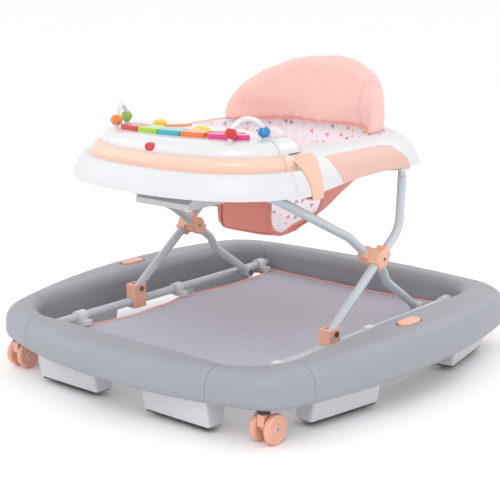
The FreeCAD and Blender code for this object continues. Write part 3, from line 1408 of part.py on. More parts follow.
# release lever, hinged at the rear of its seat
lever_body = new_body("ReleaseLever")
lever_side = sketch(lever_body, "LeverSide", "YZ_Plane")
polygon(lever_side, [(lever_pivot_y - 21, lever_pivot_z - 3), (lever_pivot_y - 21, lever_pivot_z - 10),
                     (lever_pivot_y - 6, lever_pivot_z - 18), (lever_pivot_y + 24, lever_pivot_z - 23),
                     (lever_pivot_y + 28, lever_pivot_z - 18), (lever_pivot_y + 6, lever_pivot_z - 8),
                     (lever_pivot_y + 5, lever_pivot_z + 4), (lever_pivot_y - 5, lever_pivot_z + 4)])
pad(lever_body, lever_side, 42, "LeverPad", midplane=True)
doc.recompute()
fillet(lever_body, lever_body.Tip, 1.8, "LeverRound",
       lambda e: e.BoundBox.XLength > 30 and middle(e).z < number(lever_pivot_z) - 14)
trunnions = cylinder("LeverTrunnions", trunnion_radius, 52, (-26, lever_pivot_y, lever_pivot_z), "X")
node("release_lever", fuse("ReleaseLeverSolid", lever_body, trunnions))

# leg brackets inside the tray ring, with their pins
bracket_reach = 14
bracket_low = number(tray_pivot_z) - 8
bracket_blocks = []
for sign in (1, -1):
    near_x = number(outer_leg_x - tube_radius) - 7
    block = Part.makeBox(40, 2 * bracket_reach, 60,
                         Vector(near_x if sign > 0 else -near_x - 40,
                                tray_pivot.y - bracket_reach, bracket_low))
    leg_low = number(outer_leg_x - tube_radius - fit_gap)
    leg_high = number(outer_leg_x + leg_end_flat + fit_gap)
    slot = Part.makeBox(leg_high - leg_low, 80, 40,
                        Vector(leg_low if sign > 0 else -leg_high, tray_pivot.y - 40,
                               tray_pivot.z - 31))
    bracket_blocks.append(block.common(cavity).cut(slot))
brackets = feature("LegBracketBlocks", Part.makeCompound(bracket_blocks))
pin_start = number(outer_leg_x - tube_radius) - 6
pin_stop = number(outer_leg_x + leg_end_flat) + 0.8
pin_shape = [Part.makeCylinder(number(foot_rivet_radius), pin_stop - pin_start,
                               Vector(pin_start if sign > 0 else -pin_stop, tray_pivot.y,
                                      tray_pivot.z), Vector(1, 0, 0)) for sign in (1, -1)]
tray_pins = feature("TrayPins", Part.makeCompound(pin_shape))
node("leg_brackets", cut("LegBrackets", brackets, tray_pins))
node("tray_pivot_pins", tray_pins)


# ================================================================ soft goods
def back_curve(half_width, depth, z, lean, ends_y, squareness=1.55, points=12):
    """Plan curve of the backrest at one height, closed across its front."""
    curve = []
    for i in range(2 * points + 1):
        angle = math.pi * i / (2 * points)
        c, s = math.cos(angle), math.sin(angle)
        curve.append(Vector(half_width * math.copysign(abs(c) ** (2 / squareness), c),
                            ends_y + lean + depth * abs(s) ** (2 / squareness), z))
    spline = Part.BSplineCurve()
    spline.interpolate(curve)
    ends = curve[-1], curve[0]
    return Part.Wire([spline.toShape(), Part.LineSegment(*ends).toShape()])


doc.recompute()
back_low = lip + crown + gap
back_rise = number(backrest_height)
end_y = number(backrest_end_y)
thick = number(backrest_thickness)


def back_block(half_width, depth):
    lean = number(back_lean) * (back_rise + 10)
    return Part.makeLoft([back_curve(half_width, depth, back_low, 0, end_y),
                          back_curve(half_width, depth, back_low + back_rise + 10, lean, end_y)],
                         True, False)


half_back = number(backrest_half_width)
back_shell = back_block(half_back, number(backrest_rear)).cut(
    back_block(half_back - thick, number(backrest_rear) - thick))
rise_points = [(-2, -1), (16, 0.27), (38.8, 0.57), (78.7, 0.92), (102, 1.0), (140, 1.02)]
profile = [Vector(-250, end_y + along, back_low + share * back_rise) for along, share in rise_points]
rim = Part.BSplineCurve()
rim.interpolate(profile)
far_y = profile[-1].y
below = [Vector(-250, far_y, back_low - 5 - back_rise), Vector(-250, profile[0].y, back_low - 5 - back_rise)]
side_face = Part.Face(Part.Wire([rim.toShape(), Part.LineSegment(profile[-1], below[0]).toShape(),
                                 Part.LineSegment(below[0], below[1]).toShape(),
                                 Part.LineSegment(below[1], profile[0]).toShape()]))
backrest = back_shell.common(side_face.extrude(Vector(500, 0, 0)))
node("backrest", feature("Backrest", backrest))

# sling: a band round the opening and a bag with two leg openings
cloth = number(sling_wall)
seat_low = number(seat_depth_z)


def bag_wire(half_x, y_front, y_rear, z, points=10, squareness=2.6):
    b, centre = (y_rear - y_front) / 2, (y_rear + y_front) / 2
    curve = []
    for i in range(4 * points):
        angle = 2 * math.pi * i / (4 * points)
        c, s = math.cos(angle), math.sin(angle)
        curve.append(Vector(half_x * math.copysign(abs(c) ** (2 / squareness), c),
                            centre + b * math.copysign(abs(s) ** (2 / squareness), s), z))
    spline = Part.BSplineCurve()
    spline.interpolate(curve, PeriodicFlag=True)
    return Part.Wire(spline.toShape())


half_seat, front_seat, rear_seat = number(seat_half_width), number(seat_front_y), number(seat_rear_y)
rim_top = lip + crown - 1
bag_sections = [(half_seat - gap, front_seat + gap, rear_seat - gap, rim_top),
                (half_seat - gap - 1, front_seat + gap + 1, rear_seat - gap - 1, lip + 12),
                (half_seat - 31, front_seat + 42, rear_seat - 76, seat_low + 66),
                (half_seat - 66, front_seat + 60, rear_seat - 90, seat_low + 24),
                (half_seat - 100, front_seat + 72, rear_seat - 108, seat_low)]
inner_sections = [(hx - cloth, yf + cloth, yr - cloth, z + (cloth if i > 1 else 0))
                  for i, (hx, yf, yr, z) in enumerate(bag_sections)]


def cloth_bag(sections):
    """Upright band round the opening with a rounded bag below it."""
    upright = Part.makeLoft([bag_wire(*section) for section in sections[:2]], True, True)
    pouch = Part.makeLoft([bag_wire(*section) for section in sections[1:]], True, False)
    return upright.fuse(pouch)


bag = cloth_bag(bag_sections).cut(cloth_bag(inner_sections))
for sign in (1, -1):
    outward = Vector(sign * 0.72, -0.69, -0.08)
    start = Vector(sign * 58, 16, number(leg_opening_z))
    bag = bag.cut(Part.makeCylinder(number(leg_opening_radius), 160, start, outward))
node("seat_sling", feature("SeatSling", bag))

# straps over the tray ring, each with a hook under the lip


def draped(grow):
    sections = [(-6.5, -grow)] + [(h + (grow if h else 0), inset - grow) for h, inset in ring_profile]
    return lofted(sections)


strap_loop = draped(gap + number(strap_thickness)).cut(draped(gap)).cut(
    slab(lip - 20, lip - 6, -400, 400))
strap_band = slab(lip - 20, lip + 100, number(strap_y - strap_width / 2),
                  number(strap_y + strap_width / 2))
straps = []
outside_x = number(tray_half_width) + gap + number(strap_thickness)
for sign in (1, -1):
    near_x = number(tray_half_width) - 36
    keep = Part.makeBox(80, 400, 200, Vector(near_x if sign > 0 else -near_x - 80, -400, lip - 20))
    strip = strap_loop.common(strap_band).common(keep)
    low_y = number(strap_y - strap_width / 2)
    hook_in = outside_x - 15
    floor_plate = Part.makeBox(15, number(strap_width), 2.5,
                               Vector(hook_in if sign > 0 else -outside_x, low_y, lip - 6.5))
    upright = Part.makeBox(2.5, number(strap_width), 9,
                           Vector(hook_in if sign > 0 else -hook_in - 2.5, low_y, lip - 6.5))
    straps.append(strip.fuse(floor_plate).fuse(upright).removeSplitter())
node("tray_straps", feature("TrayStraps", Part.makeCompound(straps)))


# ================================================================ check and write
doc.recompute()
faults = [obj.Name + " " + state for obj in doc.Objects for state in obj.State
          if state in ("Invalid", "Error")]
for obj in nodes:
    if obj.Shape.isNull() or not obj.Shape.isValid() or not obj.Shape.Solids:
        faults.append(obj.Label + " has no sound shape")
if faults:
    raise RuntimeError("; ".join(faults))

os.makedirs("parts", exist_ok=True)
for obj in nodes:
    obj.Shape.exportStep(os.path.join("parts", obj.Label + ".step"))
print(len(nodes), "sub-parts written")
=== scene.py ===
"""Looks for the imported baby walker: finishes for the moulded and steel parts, and the soft
goods (seat sling, padded backrest, straps and foot mat) made as cloth.

Metres.  +Z is up, -Y is the front and the origin is on the floor under the base.
"""

import random
from math import asin, atan2, copysign, cos, exp, pi, radians, sin, tau

import bmesh
import bpy
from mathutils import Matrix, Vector


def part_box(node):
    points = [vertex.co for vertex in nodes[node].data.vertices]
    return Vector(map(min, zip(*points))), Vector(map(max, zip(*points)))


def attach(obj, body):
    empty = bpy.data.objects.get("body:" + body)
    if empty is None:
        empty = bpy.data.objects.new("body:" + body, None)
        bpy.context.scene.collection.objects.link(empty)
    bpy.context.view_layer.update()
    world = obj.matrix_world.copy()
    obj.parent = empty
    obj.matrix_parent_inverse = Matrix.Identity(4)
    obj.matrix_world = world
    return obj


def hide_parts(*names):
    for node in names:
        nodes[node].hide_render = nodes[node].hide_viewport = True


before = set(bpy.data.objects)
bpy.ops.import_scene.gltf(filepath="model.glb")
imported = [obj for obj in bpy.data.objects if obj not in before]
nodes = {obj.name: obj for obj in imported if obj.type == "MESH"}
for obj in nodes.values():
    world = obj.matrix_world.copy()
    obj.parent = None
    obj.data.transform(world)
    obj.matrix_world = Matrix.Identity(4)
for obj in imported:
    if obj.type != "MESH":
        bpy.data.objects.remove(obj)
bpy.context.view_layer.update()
scene = bpy.context.scene


# ---- node-building helpers
def new_group(name, inputs, outputs, kind="ShaderNodeTree"):
    """Node group whose inputs are (name, kind, default); returns its tree and its inner sockets."""
    tree = bpy.data.node_groups.new(name, kind)
    for label, socket, default in inputs:
        item = tree.interface.new_socket(label, in_out="INPUT", socket_type="NodeSocket" + socket)
        if default is not None:
            item.default_value = default
    for label, socket in outputs:
        tree.interface.new_socket(label, in_out="OUTPUT", socket_type="NodeSocket" + socket)
    return tree, tree.nodes.new("NodeGroupInput").outputs, tree.nodes.new("NodeGroupOutput").inputs


def set_all(target, **settings):
    for key, value in settings.items():
        setattr(target, key, value)


def add(tree, kind, sockets=None, **settings):
    """New node with its settings; sockets holds constants or links by input name or number."""
    node = tree.nodes.new(kind)
    set_all(node, **settings)
    for key, value in (sockets or {}).items():
        if isinstance(value, (int, float, tuple)):
            node.inputs[key].default_value = value
        else:
            tree.links.new(value, node.inputs[key])
    return node


def put_out(tree, sink, **sources):
    """Link sources to the group outputs of the same names."""
    for label, source in sources.items():
        tree.links.new(source, sink[label])


def maths(tree, operation, a, b=None, clamp=False):
    sockets = {0: a} if b is None else {0: a, 1: b}
    return add(tree, "ShaderNodeMath", sockets, operation=operation, use_clamp=clamp).outputs[0]


def times(tree, a, b, clamp=False):
    return maths(tree, "MULTIPLY", a, b, clamp)


def plus(tree, a, b):
    return maths(tree, "ADD", a, b)


def vector_maths(tree, operation, sockets):
    return add(tree, "ShaderNodeVectorMath", sockets, operation=operation).outputs


def blend_colour(tree, mask, a, b):
    return add(tree, "ShaderNodeMix", {0: mask, 6: a, 7: b}, data_type="RGBA").outputs[2]


def spread(tree, value, low, high, to_low=0.0, to_high=1.0):
    """The range from low to high stretched over another range, and clamped to it."""
    return add(tree, "ShaderNodeMapRange", {0: value, 1: low, 2: high, 3: to_low, 4: to_high}).outputs[0]


def noise(tree, place, scale, detail=2.0):
    return add(tree, "ShaderNodeTexNoise", {"Vector": place, "Scale": scale, "Detail": detail}).outputs["Fac"]


def brighten(tree, colour, factor):
    return add(tree, "ShaderNodeHueSaturation", {"Color": colour, "Value": factor}).outputs[0]


def object_place(tree):
    return add(tree, "ShaderNodeTexCoord").outputs["Object"]


def split_axes(tree, vector):
    return add(tree, "ShaderNodeSeparateXYZ", {"Vector": vector}).outputs


# ---- shared effects
surface_outputs = [("Colour", "Color"), ("Roughness", "Float"), ("Height", "Float")]


def make_moulded_grain():
    """Fine grain of moulded plastic with faint cloudiness in colour and gloss."""
    tree, source, sink = new_group(
        "MouldedGrain",
        [("Colour", "Color", (0.5, 0.5, 0.5, 1)), ("Grain size", "Float", 900.0),
         ("Cloudiness", "Float", 0.04), ("Roughness", "Float", 0.4)], surface_outputs)
    cloud_scale, gloss_share = 9.0, 0.8
    place = object_place(tree)
    shade = spread(tree, noise(tree, place, cloud_scale, 3.0), 0.3, 0.7, -1.0, 1.0)
    strength = times(tree, shade, source["Cloudiness"])
    put_out(tree, sink, Colour=brighten(tree, source["Colour"], plus(tree, strength, 1.0)),
            Roughness=plus(tree, source["Roughness"], times(tree, strength, gloss_share)),
            Height=noise(tree, place, source["Grain size"]))
    return tree


def make_mask(name, amount, where, scale, detail, low, high):
    """Mask that breaks into patches, where the surface's geometry gives it room."""
    tree, source, sink = new_group(name, [("Amount", "Float", amount)], [("Mask", "Float")])
    room = where(tree, add(tree, "ShaderNodeNewGeometry").outputs)
    patches = spread(tree, noise(tree, object_place(tree), scale, detail), low, high)
    both = times(tree, room, patches)
    put_out(tree, sink, Mask=times(tree, both, source["Amount"], clamp=True))
    return tree


def facing_up(tree, geometry):
    return spread(tree, split_axes(tree, geometry["Normal"])["Z"], 0.2, 1.0)


def sharp_edges(tree, geometry):
    return spread(tree, geometry["Pointiness"], 0.53, 0.62)


def make_cloth_weave():
    """Plain weave laid along the cloth's own map, with slubs, and painted shade that makes the colour darker
    between the threads and lighter on them.
    """
    tree, source, sink = new_group(
        "ClothWeave",
        [("Colour", "Color", (0.9, 0.6, 0.5, 1)), ("Threads per metre", "Float", 1500.0),
         ("Slub", "Float", 0.06)], surface_outputs)
    slub_scale, painted_thread_shade, thread_base = 90.0, 0.06, 0.98
    low_roughness, high_roughness = 0.78, 0.9
    cloth_map = add(tree, "ShaderNodeUVMap").outputs[0]
    axes = split_axes(tree, cloth_map)
    rate = times(tree, source["Threads per metre"], pi)
    warp, weft = [maths(tree, "SINE", times(tree, axes[axis], rate)) for axis in "XY"]
    height = times(tree, plus(tree, times(tree, warp, weft), 1.0), 0.5)
    slub = spread(tree, noise(tree, cloth_map, slub_scale, 4.0), 0.3, 0.7, -1.0, 1.0)
    # slubs are random tone; the weave's height also darkens the colour between the threads and lightens it on
    # them, as painted shade
    shade = plus(tree, times(tree, slub, source["Slub"]),
                  times(tree, height, painted_thread_shade))
    put_out(tree, sink, Colour=brighten(tree, source["Colour"], plus(tree, shade, thread_base)),
            Roughness=spread(tree, height, 0.0, 1.0, high_roughness, low_roughness), Height=height)
    return tree


def make_triangle_print():
    """Small scattered triangles, each turned and coloured at random, on the cloth's map."""
    tree, source, sink = new_group(
        "TrianglePrint",
        [("Ground", "Color", (0.95, 0.85, 0.84, 1)), ("Triangles per metre", "Float", 68.0),
         ("Size", "Float", 0.17)],
        [("Colour", "Color")])
    scatter, bare_share = 0.75, 0.30
    inks = [(0.0, (0.80, 0.34, 0.29, 1)), (0.14, (0.90, 0.60, 0.52, 1)), (0.36, (0.40, 0.37, 0.48, 1)),
            (0.68, (0.62, 0.58, 0.66, 1)), (0.84, (0.90, 0.70, 0.68, 1))]
    cloth_map = add(tree, "ShaderNodeUVMap").outputs[0]
    rate = source["Triangles per metre"]
    cells = add(tree, "ShaderNodeTexVoronoi", {"Vector": cloth_map, "Scale": rate, "Randomness": scatter},
                voronoi_dimensions="2D", feature="F1").outputs
    scaled, centre = [vector_maths(tree, "SCALE", {0: place, "Scale": rate})[0]
                      for place in (cloth_map, cells["Position"])]
    local = vector_maths(tree, "SUBTRACT", {0: scaled, 1: centre})[0]
    chance = add(tree, "ShaderNodeSeparateColor", {0: cells["Color"]}).outputs
    turned = add(tree, "ShaderNodeVectorRotate",
                 {"Vector": local, "Angle": times(tree, chance[0], tau)},
                 rotation_type="Z_AXIS").outputs[0]
    reach = None
    for corner in range(3):
        angle = tau * corner / 3
        way = (cos(angle), sin(angle), 0)
        side = vector_maths(tree, "DOT_PRODUCT", {0: turned, 1: way})["Value"]
        reach = side if reach is None else maths(tree, "MAXIMUM", reach, side)
    inside = maths(tree, "LESS_THAN", reach, source["Size"])
    shown = times(tree, inside, maths(tree, "GREATER_THAN", chance[1], bare_share))
    ink = add(tree, "ShaderNodeValToRGB", {0: chance[2]})
    ink.color_ramp.interpolation = "CONSTANT"
    while len(ink.color_ramp.elements) < len(inks):
        ink.color_ramp.elements.new(0.5)
    for element, (position, colour) in zip(ink.color_ramp.elements, inks):
        set_all(element, position=position, color=colour)
    put_out(tree, sink, Colour=blend_colour(tree, shown, source["Ground"], ink.outputs[0]))
    return tree


moulded_grain = make_moulded_grain()
settled_dust = make_mask("SettledDust", 0.1, facing_up, 26.0, 5.0, 0.42, 0.68)
edge_wear = make_mask("EdgeWear", 0.3, sharp_edges, 140.0, 3.0, 0.4, 0.6)
cloth_weave = make_cloth_weave()
triangle_print = make_triangle_print()


# ---- finishes
bump_strength = 0.6
dust_colour = (0.86, 0.85, 0.84, 1)


def start_material(name, **constants):
    """Material, its tree and its Principled inputs; constants are named with _ for a space."""
    material = bpy.data.materials.new(name)
    material.use_nodes = True
    shader = material.node_tree.nodes["Principled BSDF"].inputs
    for key, value in constants.items():
        shader[key.replace("_", " ")].default_value = value
    return material, material.node_tree, shader


def use_group(tree, group, **values):
    """Group node; each value is named with _ for a space."""
    return add(tree, "ShaderNodeGroup", {key.replace("_", " "): value for key, value in values.items()},
               node_tree=group)


def add_bump(tree, shader, height, distance):
    bump = add(tree, "ShaderNodeBump", {"Height": height, "Strength": bump_strength, "Distance": distance})
    tree.links.new(bump.outputs["Normal"], shader["Normal"])


def moulded(name, colour, roughness, grain=900.0, depth=0.00005, cloud=0.03, wear=0.25, dust=0.04,
            **constants):
    """Injection- or blow-moulded plastic."""
    material, tree, shader = start_material(name, **constants)
    body = use_group(tree, moulded_grain, Colour=(*colour, 1), Grain_size=grain, Cloudiness=cloud,
                     Roughness=roughness).outputs
    rubbed = use_group(tree, edge_wear, Amount=wear).outputs["Mask"]
    dusty = use_group(tree, settled_dust, Amount=dust).outputs["Mask"]
    lighter = tuple(min(1.0, channel * 1.18 + 0.03) for channel in colour)
    worn = blend_colour(tree, rubbed, body["Colour"], (*lighter, 1))
    tree.links.new(blend_colour(tree, dusty, worn, dust_colour), shader["Base Color"])
    dulled = plus(tree, body["Roughness"], times(tree, dusty, 0.5))
    tree.links.new(dulled, shader["Roughness"])
    add_bump(tree, shader, body["Height"], depth)
    return material


def cloth(name, colour, threads=1500.0, depth=0.00012, printed=False, slub=0.02, sheen=0.35):
    """Woven fabric, plain or printed."""
    material, tree, shader = start_material(name, Sheen_Weight=sheen, Sheen_Roughness=0.5)
    weave = use_group(tree, cloth_weave, Threads_per_metre=threads, Slub=slub, Colour=(*colour, 1))
    if printed:
        ink = use_group(tree, triangle_print, Ground=(*colour, 1))
        tree.links.new(ink.outputs["Colour"], weave.inputs["Colour"])
    tree.links.new(weave.outputs["Colour"], shader["Base Color"])
    tree.links.new(weave.outputs["Roughness"], shader["Roughness"])
    add_bump(tree, shader, weave.outputs["Height"], depth)
    return material


def brushed(name, colour, roughness):
    """Turned or brushed steel of pins and screws."""
    material, tree, shader = start_material(name, Metallic=1.0)
    stretch = add(tree, "ShaderNodeMapping", {"Vector": object_place(tree), "Scale": (40, 900, 900)})
    lines = noise(tree, stretch.outputs[0], 3.0, 3.0)
    shade = spread(tree, lines, 0.3, 0.7, 0.85, 1.1)
    tree.links.new(brighten(tree, (*colour, 1), shade), shader["Base Color"])
    tree.links.new(spread(tree, lines, 0.3, 0.7, roughness - 0.06, roughness + 0.08), shader["Roughness"])
    add_bump(tree, shader, lines, 0.00004)
    return material


def tint_where(material, mask, colour, metal=False):
    """Give the part of a moulded finish inside a mask another colour, and metal if asked."""
    tree = material.node_tree
    shader = tree.nodes["Principled BSDF"].inputs
    before = shader["Base Color"].links[0].from_socket
    tree.links.new(blend_colour(tree, mask, before, (*colour, 1)), shader["Base Color"])
    if metal:
        tree.links.new(mask, shader["Metallic"])


def object_axes(material):
    """A material's tree and its Object coordinates, one socket for each axis."""
    tree = material.node_tree
    return tree, split_axes(tree, object_place(tree))


def coat(weight, roughness):
    return {"Coat_Weight": weight, "Coat_Roughness": roughness}


def dress(material, names):
    """Give the named CAD pieces a finish."""
    for name in names.split():
        slots = nodes[name].data.materials
        slots.clear()
        slots.append(material)
    return material


unworn = {"wear": 0.0, "dust": 0.0}
shiny = {"grain": 180, "depth": 0.00002}
dress(moulded("RailGrey", (0.315, 0.33, 0.365), 0.44, grain=700, depth=0.00012, cloud=0.02, wear=0.12),
      "front_rail front_right_corner front_left_corner right_rail left_rail rear_rail")
dress(moulded("TubeEnamel", (0.53, 0.58, 0.63), 0.30, grain=260, depth=0.00004, **coat(0.35, 0.2)),
      "right_side_tube left_side_tube front_leg_frame rear_leg_right rear_leg_left")
dress(moulded("PeachPlastic", (0.85, 0.47, 0.34), 0.42, grain=800, depth=0.00008),
      "hub_inner_halves hub_outer_halves tube_slider_right tube_slider_left "
      "rail_button_right rail_button_left")
dress(moulded("TrayGloss", (0.69, 0.685, 0.71), 0.36, cloud=0.008, **shiny, **unworn, **coat(0.2, 0.28)),
      "tray_base leg_brackets")
dress(moulded("DeckGloss", (0.71, 0.70, 0.72), 0.24, cloud=0.008, **shiny, **unworn, **coat(0.6, 0.07)),
      "toy_deck")
dress(moulded("BandGloss", (0.87, 0.55, 0.43), 0.20, cloud=0.01, wear=0.0, **shiny, **coat(0.5, 0.08)),
      "tray_band")
dress(moulded("SidePanelPeach", (0.71, 0.44, 0.38), 0.34, grain=500, depth=0.00004, cloud=0.012, **unworn),
      "side_panels")
dress(moulded("ClipWhite", (0.70, 0.70, 0.73), 0.35, grain=500), "tube_clips")
dress(moulded("HousingWhite", (0.68, 0.66, 0.68), 0.42, grain=700), "height_housing")
dress(moulded("StopWhite", (0.60, 0.60, 0.64), 0.45, grain=700, depth=0.0001), "stop_blocks")
dress(moulded("SocketDark", (0.02, 0.02, 0.024), 0.5, grain=700), "caster_sockets")
dress(moulded("PadRubber", (0.018, 0.018, 0.02), 0.75, grain=1400, depth=0.0002, dust=0.2), "stop_pads")
casters = " ".join(kind + corner for kind in ("caster_yoke_", "caster_wheels_")
                   for corner in ("front_right", "front_left", "rear_right", "rear_left"))
wheel_peach = dress(moulded("WheelPeach", (0.76, 0.38, 0.27), 0.28, grain=700, wear=0.15, **coat(0.5, 0.15)),
                    casters)
dress(brushed("PinSteel", (0.22, 0.22, 0.23), 0.34),
      "hub_pins slider_screws foot_rivets tray_pivot_pins")
dress(moulded("ArchWhite", (0.72, 0.72, 0.74), 0.2, grain=300, depth=0.00002, Coat_Weight=0.4), "bead_arches")
toys = {"red": ((0.60, 0.018, 0.025), "piano_key_red long_key_red bead_red deck_latch_button release_lever"),
        "lime": ((0.36, 0.60, 0.04), "piano_key_lime"), "teal": ((0.035, 0.42, 0.48), "piano_key_teal"),
        "orange": ((0.80, 0.20, 0.03), "piano_key_orange bead_orange"),
        "magenta": ((0.76, 0.035, 0.26), "long_key_magenta"),
        "yellow": ((0.92, 0.60, 0.03), "yellow_button_front yellow_button_left"),
        "blue": ((0.004, 0.215, 0.50), "bead_blue"), "green": ((0.28, 0.47, 0.05), "bead_green")}
for toy, (colour, names) in toys.items():
    dress(moulded("Toy" + toy.title(), colour, 0.20, grain=220, depth=0.00003, cloud=0.02, **unworn,
                  **coat(0.5, 0.06)), names)
dress(moulded("DomePearl", (0.84, 0.76, 0.79), 0.08, grain=200, depth=0.00002, cloud=0.04, **unworn,
              Transmission_Weight=0.12, **coat(0.7, 0.04)), "toy_dome")
inlay_paint = dress(moulded("InlayPaint", (0.86, 0.27, 0.05), 0.25, grain=300, depth=0.00002, **unworn,
                            **coat(0.4, 0.1)), "deck_inlays")
peach_cloth = cloth("PeachCloth", (0.87, 0.52, 0.47))
coral_cloth = cloth("CoralCloth", (0.88, 0.315, 0.24))
piping_cloth = cloth("PipingCloth", (0.78, 0.29, 0.23), threads=900, depth=0.0002)
print_cloth = cloth("PrintCloth", (0.90, 0.86, 0.90), printed=True, slub=0.015)
strap_cloth = cloth("StrapWebbing", (0.86, 0.50, 0.37), threads=700, depth=0.0003)
mat_cloth = cloth("MatCloth", (0.475, 0.48, 0.555), threads=1300, depth=0.00018, slub=0.05, sheen=0.15)
mat_piping = cloth("MatPiping", (0.86, 0.44, 0.37), threads=900, depth=0.0002)
rim_cloth = cloth("RimPiping", (0.90, 0.66, 0.63), threads=900, depth=0.0002)
thread = cloth("SewingThread", (0.93, 0.66, 0.60), threads=3000, depth=0.0001)


def paint_axle_caps():
    """Steel caps at the wheel axles, on the front and the rear line of wheels."""
    cap_radius, cap_colour = 0.0038, (0.50, 0.50, 0.51)
    (_, front_y0, wheel_z0), (_, front_y1, wheel_z1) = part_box("caster_wheels_front_right")
    (_, rear_y0, _), (_, rear_y1, _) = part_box("caster_wheels_rear_right")
    front_axle, rear_axle = (front_y0 + front_y1) / 2, (rear_y0 + rear_y1) / 2
    tree, axes = object_axes(wheel_peach)
    from_middle = maths(tree, "ABSOLUTE", maths(tree, "SUBTRACT", axes[1], (front_axle + rear_axle) / 2))
    past_axle = maths(tree, "SUBTRACT", from_middle, (rear_axle - front_axle) / 2)
    above_axle = maths(tree, "SUBTRACT", axes[2], (wheel_z0 + wheel_z1) / 2)
    squares = [times(tree, side, side) for side in (past_axle, above_axle)]
    from_axle = maths(tree, "SQRT", plus(tree, *squares))
    tint_where(wheel_peach, maths(tree, "LESS_THAN", from_axle, cap_radius), cap_colour, metal=True)


def paint_inlays():
    """Blue on the inlay in front and green on the one at the right; the rest stay orange."""
    blue_before_y = -0.129
    tree, axes = object_axes(inlay_paint)
    tint_where(inlay_paint, maths(tree, "LESS_THAN", axes[1], blue_before_y), (0.10, 0.42, 0.66))
    tint_where(inlay_paint, maths(tree, "GREATER_THAN", axes[0], 0.0), (0.34, 0.62, 0.10))


paint_axle_caps()
paint_inlays()


# ---- mesh helpers
def clamp(value):
    return min(1.0, max(0.0, value))


def power(value, exponent):
    """Power that keeps the sign."""
    return copysign(abs(value) ** exponent, value)


def through(a, b, c, d, t):
    """Smooth curve from b to c, which comes from a and goes on to d."""
    return 0.5 * (2 * b + (c - a) * t + (2 * a - 5 * b + 4 * c - d) * t * t
                  + (3 * b - a - 3 * c + d) * t ** 3)


def around_span(keys, k, closed=False):
    """The four keys about the span from key k; an open row repeats its first and last."""
    count = len(keys)
    return [keys[spot % count if closed else max(0, min(count - 1, spot))] for spot in range(k - 1, k + 3)]


def last_true(low, high, rounds, holds):
    """Halve a span again and again for the last value at which a condition holds."""
    for _ in range(rounds):
        middle = (low + high) / 2
        low, high = (middle, high) if holds(middle) else (low, middle)
    return low


def new_object(name, data):
    obj = bpy.data.objects.new(name, data)
    scene.collection.objects.link(obj)
    return obj


def mesh_piece(name, vertices, faces, material, uvs=None):
    """Mesh object at the origin; uvs holds one (u, v) per vertex, in metres of cloth."""
    mesh = bpy.data.meshes.new(name)
    mesh.from_pydata(vertices, [], faces)
    mesh.materials.append(material)
    if uvs:
        layer = mesh.uv_layers.new(name="Cloth")
        for loop in mesh.loops:
            layer.data[loop.index].uv = uvs[loop.vertex_index]
    mesh.shade_smooth()
    mesh.update()
    return new_object(name, mesh)


def grid_faces(rows, columns):
    """Quads of a sheet of (rows + 1) by (columns + 1) vertices."""
    starts = [j * (columns + 1) + i for j in range(rows) for i in range(columns)]
    return [(a, a + 1, a + columns + 2, a + columns + 1) for a in starts]


def tube_faces(first, rings, sides, closed):
    """Quads between rings of vertices; a closed tube joins its last ring to its first."""
    faces = []
    for k in range(rings if closed else rings - 1):
        near, far = first + k * sides, first + (k + 1) % rings * sides
        for side in range(sides):
            after = (side + 1) % sides
            faces.append((near + side, near + after, far + after, far + side))
    return faces


def capped_tube(rings, sides):
    """Faces of a closed form made of rings of vertices."""
    last = (rings - 1) * sides
    caps = [tuple(range(sides)), tuple(range(last + sides - 1, last - 1, -1))]
    return tube_faces(0, rings, sides, closed=False) + caps


def edit_mesh(mesh, change):
    shell = bmesh.new()
    shell.from_mesh(mesh)
    change(shell)
    shell.to_mesh(mesh)
    shell.free()


def face_outwards(mesh):
    edit_mesh(mesh, lambda shell: bmesh.ops.recalc_face_normals(shell, faces=shell.faces[:]))


def modify(obj, name, kind, **settings):
    modifier = obj.modifiers.new(name, kind)
    set_all(modifier, **settings)
    return modifier


def evaluated_mesh(obj):
    graph = bpy.context.evaluated_depsgraph_get()
    return bpy.data.meshes.new_from_object(obj.evaluated_get(graph))


def bake_modifiers(obj):
    """Turn the evaluated object into plain mesh data."""
    mesh = evaluated_mesh(obj)
    obj.modifiers.clear()
    obj.data = mesh


def finish_tree(tree, sink, shape, material):
    """Realize what a geometry tree made and paint it."""
    real = add(tree, "GeometryNodeRealizeInstances", {"Geometry": shape})
    painted = add(tree, "GeometryNodeSetMaterial", {"Geometry": real.outputs[0], "Material": material})
    tree.links.new(painted.outputs[0], sink[0])
    return tree


def make_cord_tree():
    """Round sewn cord along a path: piping and rolled hems."""
    tree, source, sink = new_group(
        "SewnCord", [("Path", "Geometry", None), ("Radius", "Float", 0.002),
                     ("Sides", "Int", 10), ("Cloth", "Material", None)],
        [("Cord", "Geometry")], "GeometryNodeTree")
    ring = add(tree, "GeometryNodeCurvePrimitiveCircle",
               {"Radius": source["Radius"], "Resolution": source["Sides"]})
    swept = add(tree, "GeometryNodeCurveToMesh",
                {"Curve": source["Path"], "Profile Curve": ring.outputs[0], "Fill Caps": True})
    smooth = add(tree, "GeometryNodeSetShadeSmooth", {"Geometry": swept.outputs[0]})
    return finish_tree(tree, sink, smooth.outputs[0], source["Cloth"])


